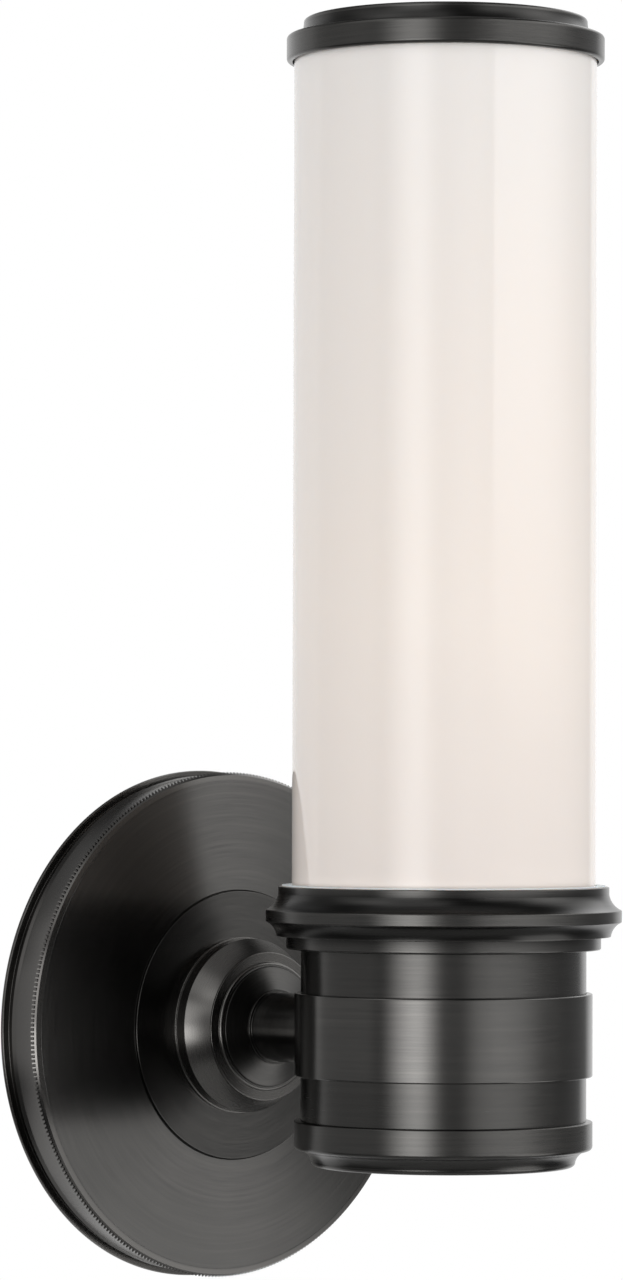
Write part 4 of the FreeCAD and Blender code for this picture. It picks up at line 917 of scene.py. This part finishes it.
# Light from the studio, by compass directions in degrees: 0 is straight in front of the wall
# plate and 90 is to its right; the blur is the width of the edge's fade
Softbox = namedtuple("Softbox", "left left_blur right right_blur low low_blur high high_blur level")
ZENITH = 90
FULL_CIRCLE = 360
BASE_LEVEL = 0.10        # light from every direction
SOFTBOXES = {
    "left bank, below": Softbox(-79, 32, -53, 22, -18, 8, -2, 2, 7.2),
    "left bank": Softbox(-80, 30, -53, 20, -3, 3, 11, 3, 2.7),
    "left bank, above": Softbox(-84, 28, -53, 20, 10, 3, 26, 12, 2.5),
    "left fill": Softbox(-190, 20, -95, 20, -14, 10, 16, 6, 0.56),
    "left, high": Softbox(-125, 24, -84, 20, 16, 6, 45, 14, 1.1),
    "left, top": Softbox(-112, 20, -40, 20, 34, 10, 62, 12, 1.2),
    "behind, high": Softbox(-190, 20, -125, 24, 16, 6, 45, 14, 0.25),
    "middle": Softbox(-50, 10, -16, 16, -16, 6, 14, 6, 0.45),
    "right bank, below": Softbox(-20, 22, 25, 52, -14, 6, -2, 2, 3.2),
    "right bank": Softbox(-6, 2, 50, 44, 2, 6, 10, 3, 1.5),
    "right bank, above": Softbox(-16, 20, 52, 30, 11, 3, 28, 10, 2.3),
    "low fill": Softbox(14, 12, 56, 12, -40, 8, -13, 4, 2.5),
    "right fill": Softbox(45, 20, 104, 20, -20, 8, 14, 8, 0.25),
    "right, high": Softbox(24, 24, 140, 30, 14, 8, 42, 14, 1.9),
    "backdrop": Softbox(104, 12, 205, 12, -40, 10, 22, 12, 0.68),
    "overhead": Softbox(-180, 0, 180, 0, 62, 16, 90, 0, 0.4),
}


def facing(azimuth):
    """The level direction at an azimuth."""
    turn = math.radians(azimuth)
    return Vector((math.sin(turn), -math.cos(turn), 0))


def soft_step(tree, value, at, blur, rising):
    """A smooth step in a direction's angle."""
    half = max(math.radians(blur) / 2, TINY)
    start, end = math.radians(at) - half, math.radians(at) + half
    inputs = {"Value": value, "From Min": start, "From Max": end}
    inputs.update({"To Min": 0.0, "To Max": 1.0} if rising else {"To Min": 1.0, "To Max": 0.0})
    return put(tree, "ShaderNodeMapRange", inputs, interpolation_type="SMOOTHSTEP").outputs[0]


def box_share(tree, way, rise, box):
    """1 in the directions that a softbox fills, 0 in the others."""
    shares = [soft_step(tree, rise, box.low, box.low_blur, True)]
    if box.high < ZENITH:
        shares.append(soft_step(tree, rise, box.high, box.high_blur, False))
    if box.right - box.left < FULL_CIRCLE:
        middle = (box.left + box.right) / 2
        ahead = vector_node(tree, "DOT_PRODUCT", way, facing(middle))
        beside = vector_node(tree, "DOT_PRODUCT", way, facing(middle + 90))
        turn = math_node(tree, "ARCTAN2", beside, ahead)
        shares.append(soft_step(tree, turn, box.left - middle, box.left_blur, True))
        shares.append(soft_step(tree, turn, box.right - middle, box.right_blur, False))
    total = shares[0]
    for share in shares[1:]:
        total = math_node(tree, "MULTIPLY", total, share)
    return total


def studio():
    """Softboxes light the object. The camera sees white, and so do reflections of the backdrop."""
    world = bpy.data.worlds.new("studio")
    scene.world = world
    world.use_nodes = True
    tree = world.node_tree
    way = put(tree, "ShaderNodeTexCoord").outputs["Generated"]
    level = put(tree, "ShaderNodeSeparateXYZ", {0: way}).outputs["Z"]
    rise = math_node(tree, "ARCSINE", level)
    total = BASE_LEVEL
    for box in SOFTBOXES.values():
        share = box_share(tree, way, rise, box)
        total = math_node(tree, "ADD", total, math_node(tree, "MULTIPLY", share, box.level))
    light = put(tree, "ShaderNodeBackground", {"Color": grey(1.0), "Strength": total})
    white = put(tree, "ShaderNodeBackground", {"Color": grey(1.0), "Strength": 1.0})
    path = put(tree, "ShaderNodeLightPath")
    seen = math_node(tree, "MAXIMUM", path.outputs["Is Camera Ray"], path.outputs["Is Transmission Ray"])
    behind = box_share(tree, way, rise, SOFTBOXES["backdrop"])
    behind = math_node(tree, "MULTIPLY", path.outputs["Is Glossy Ray"], behind)
    seen = math_node(tree, "MAXIMUM", seen, behind)
    choice = put(tree, "ShaderNodeMixShader", {0: seen, 1: light.outputs[0], 2: white.outputs[0]})
    tree.links.new(choice.outputs[0], tree.nodes["World Output"].inputs["Surface"])


studio()

# Camera, fitted to the photograph
CAMERA_PLACE = Vector((-902.57, -1054.00, 66.50)) * MM
CAMERA_TURN = math.radians(41.75)      # from straight at the wall toward its right
CAMERA_RISE = math.radians(1.243)
CAMERA_ROLL = math.radians(0.166)
FOCAL_PIXELS = 5489.5                  # for an image 1280 pixels high
IMAGE_HEIGHT = 1280
SENSOR = 36.0
CLIP_START, CLIP_END = 0.05, 30.0


def camera():
    """A camera with a long lens to the left of the arm, level with the lower part of the glass."""
    ahead = Vector((math.sin(CAMERA_TURN) * math.cos(CAMERA_RISE),
                    math.cos(CAMERA_TURN) * math.cos(CAMERA_RISE), math.sin(CAMERA_RISE)))
    level = Vector((math.cos(CAMERA_TURN), -math.sin(CAMERA_TURN), 0))
    upright = level.cross(ahead)
    right = level * math.cos(CAMERA_ROLL) + upright * math.sin(CAMERA_ROLL)
    up = -level * math.sin(CAMERA_ROLL) + upright * math.cos(CAMERA_ROLL)
    data = bpy.data.cameras.new("camera")
    data.sensor_width = SENSOR
    data.lens = FOCAL_PIXELS * SENSOR / IMAGE_HEIGHT
    data.clip_start, data.clip_end = CLIP_START, CLIP_END
    seat = Matrix((right, up, -ahead)).transposed().to_4x4()
    seat.translation = CAMERA_PLACE
    eye = bpy.data.objects.new("camera", data)
    eye.matrix_world = seat
    scene.collection.objects.link(eye)
    scene.camera = eye


camera()
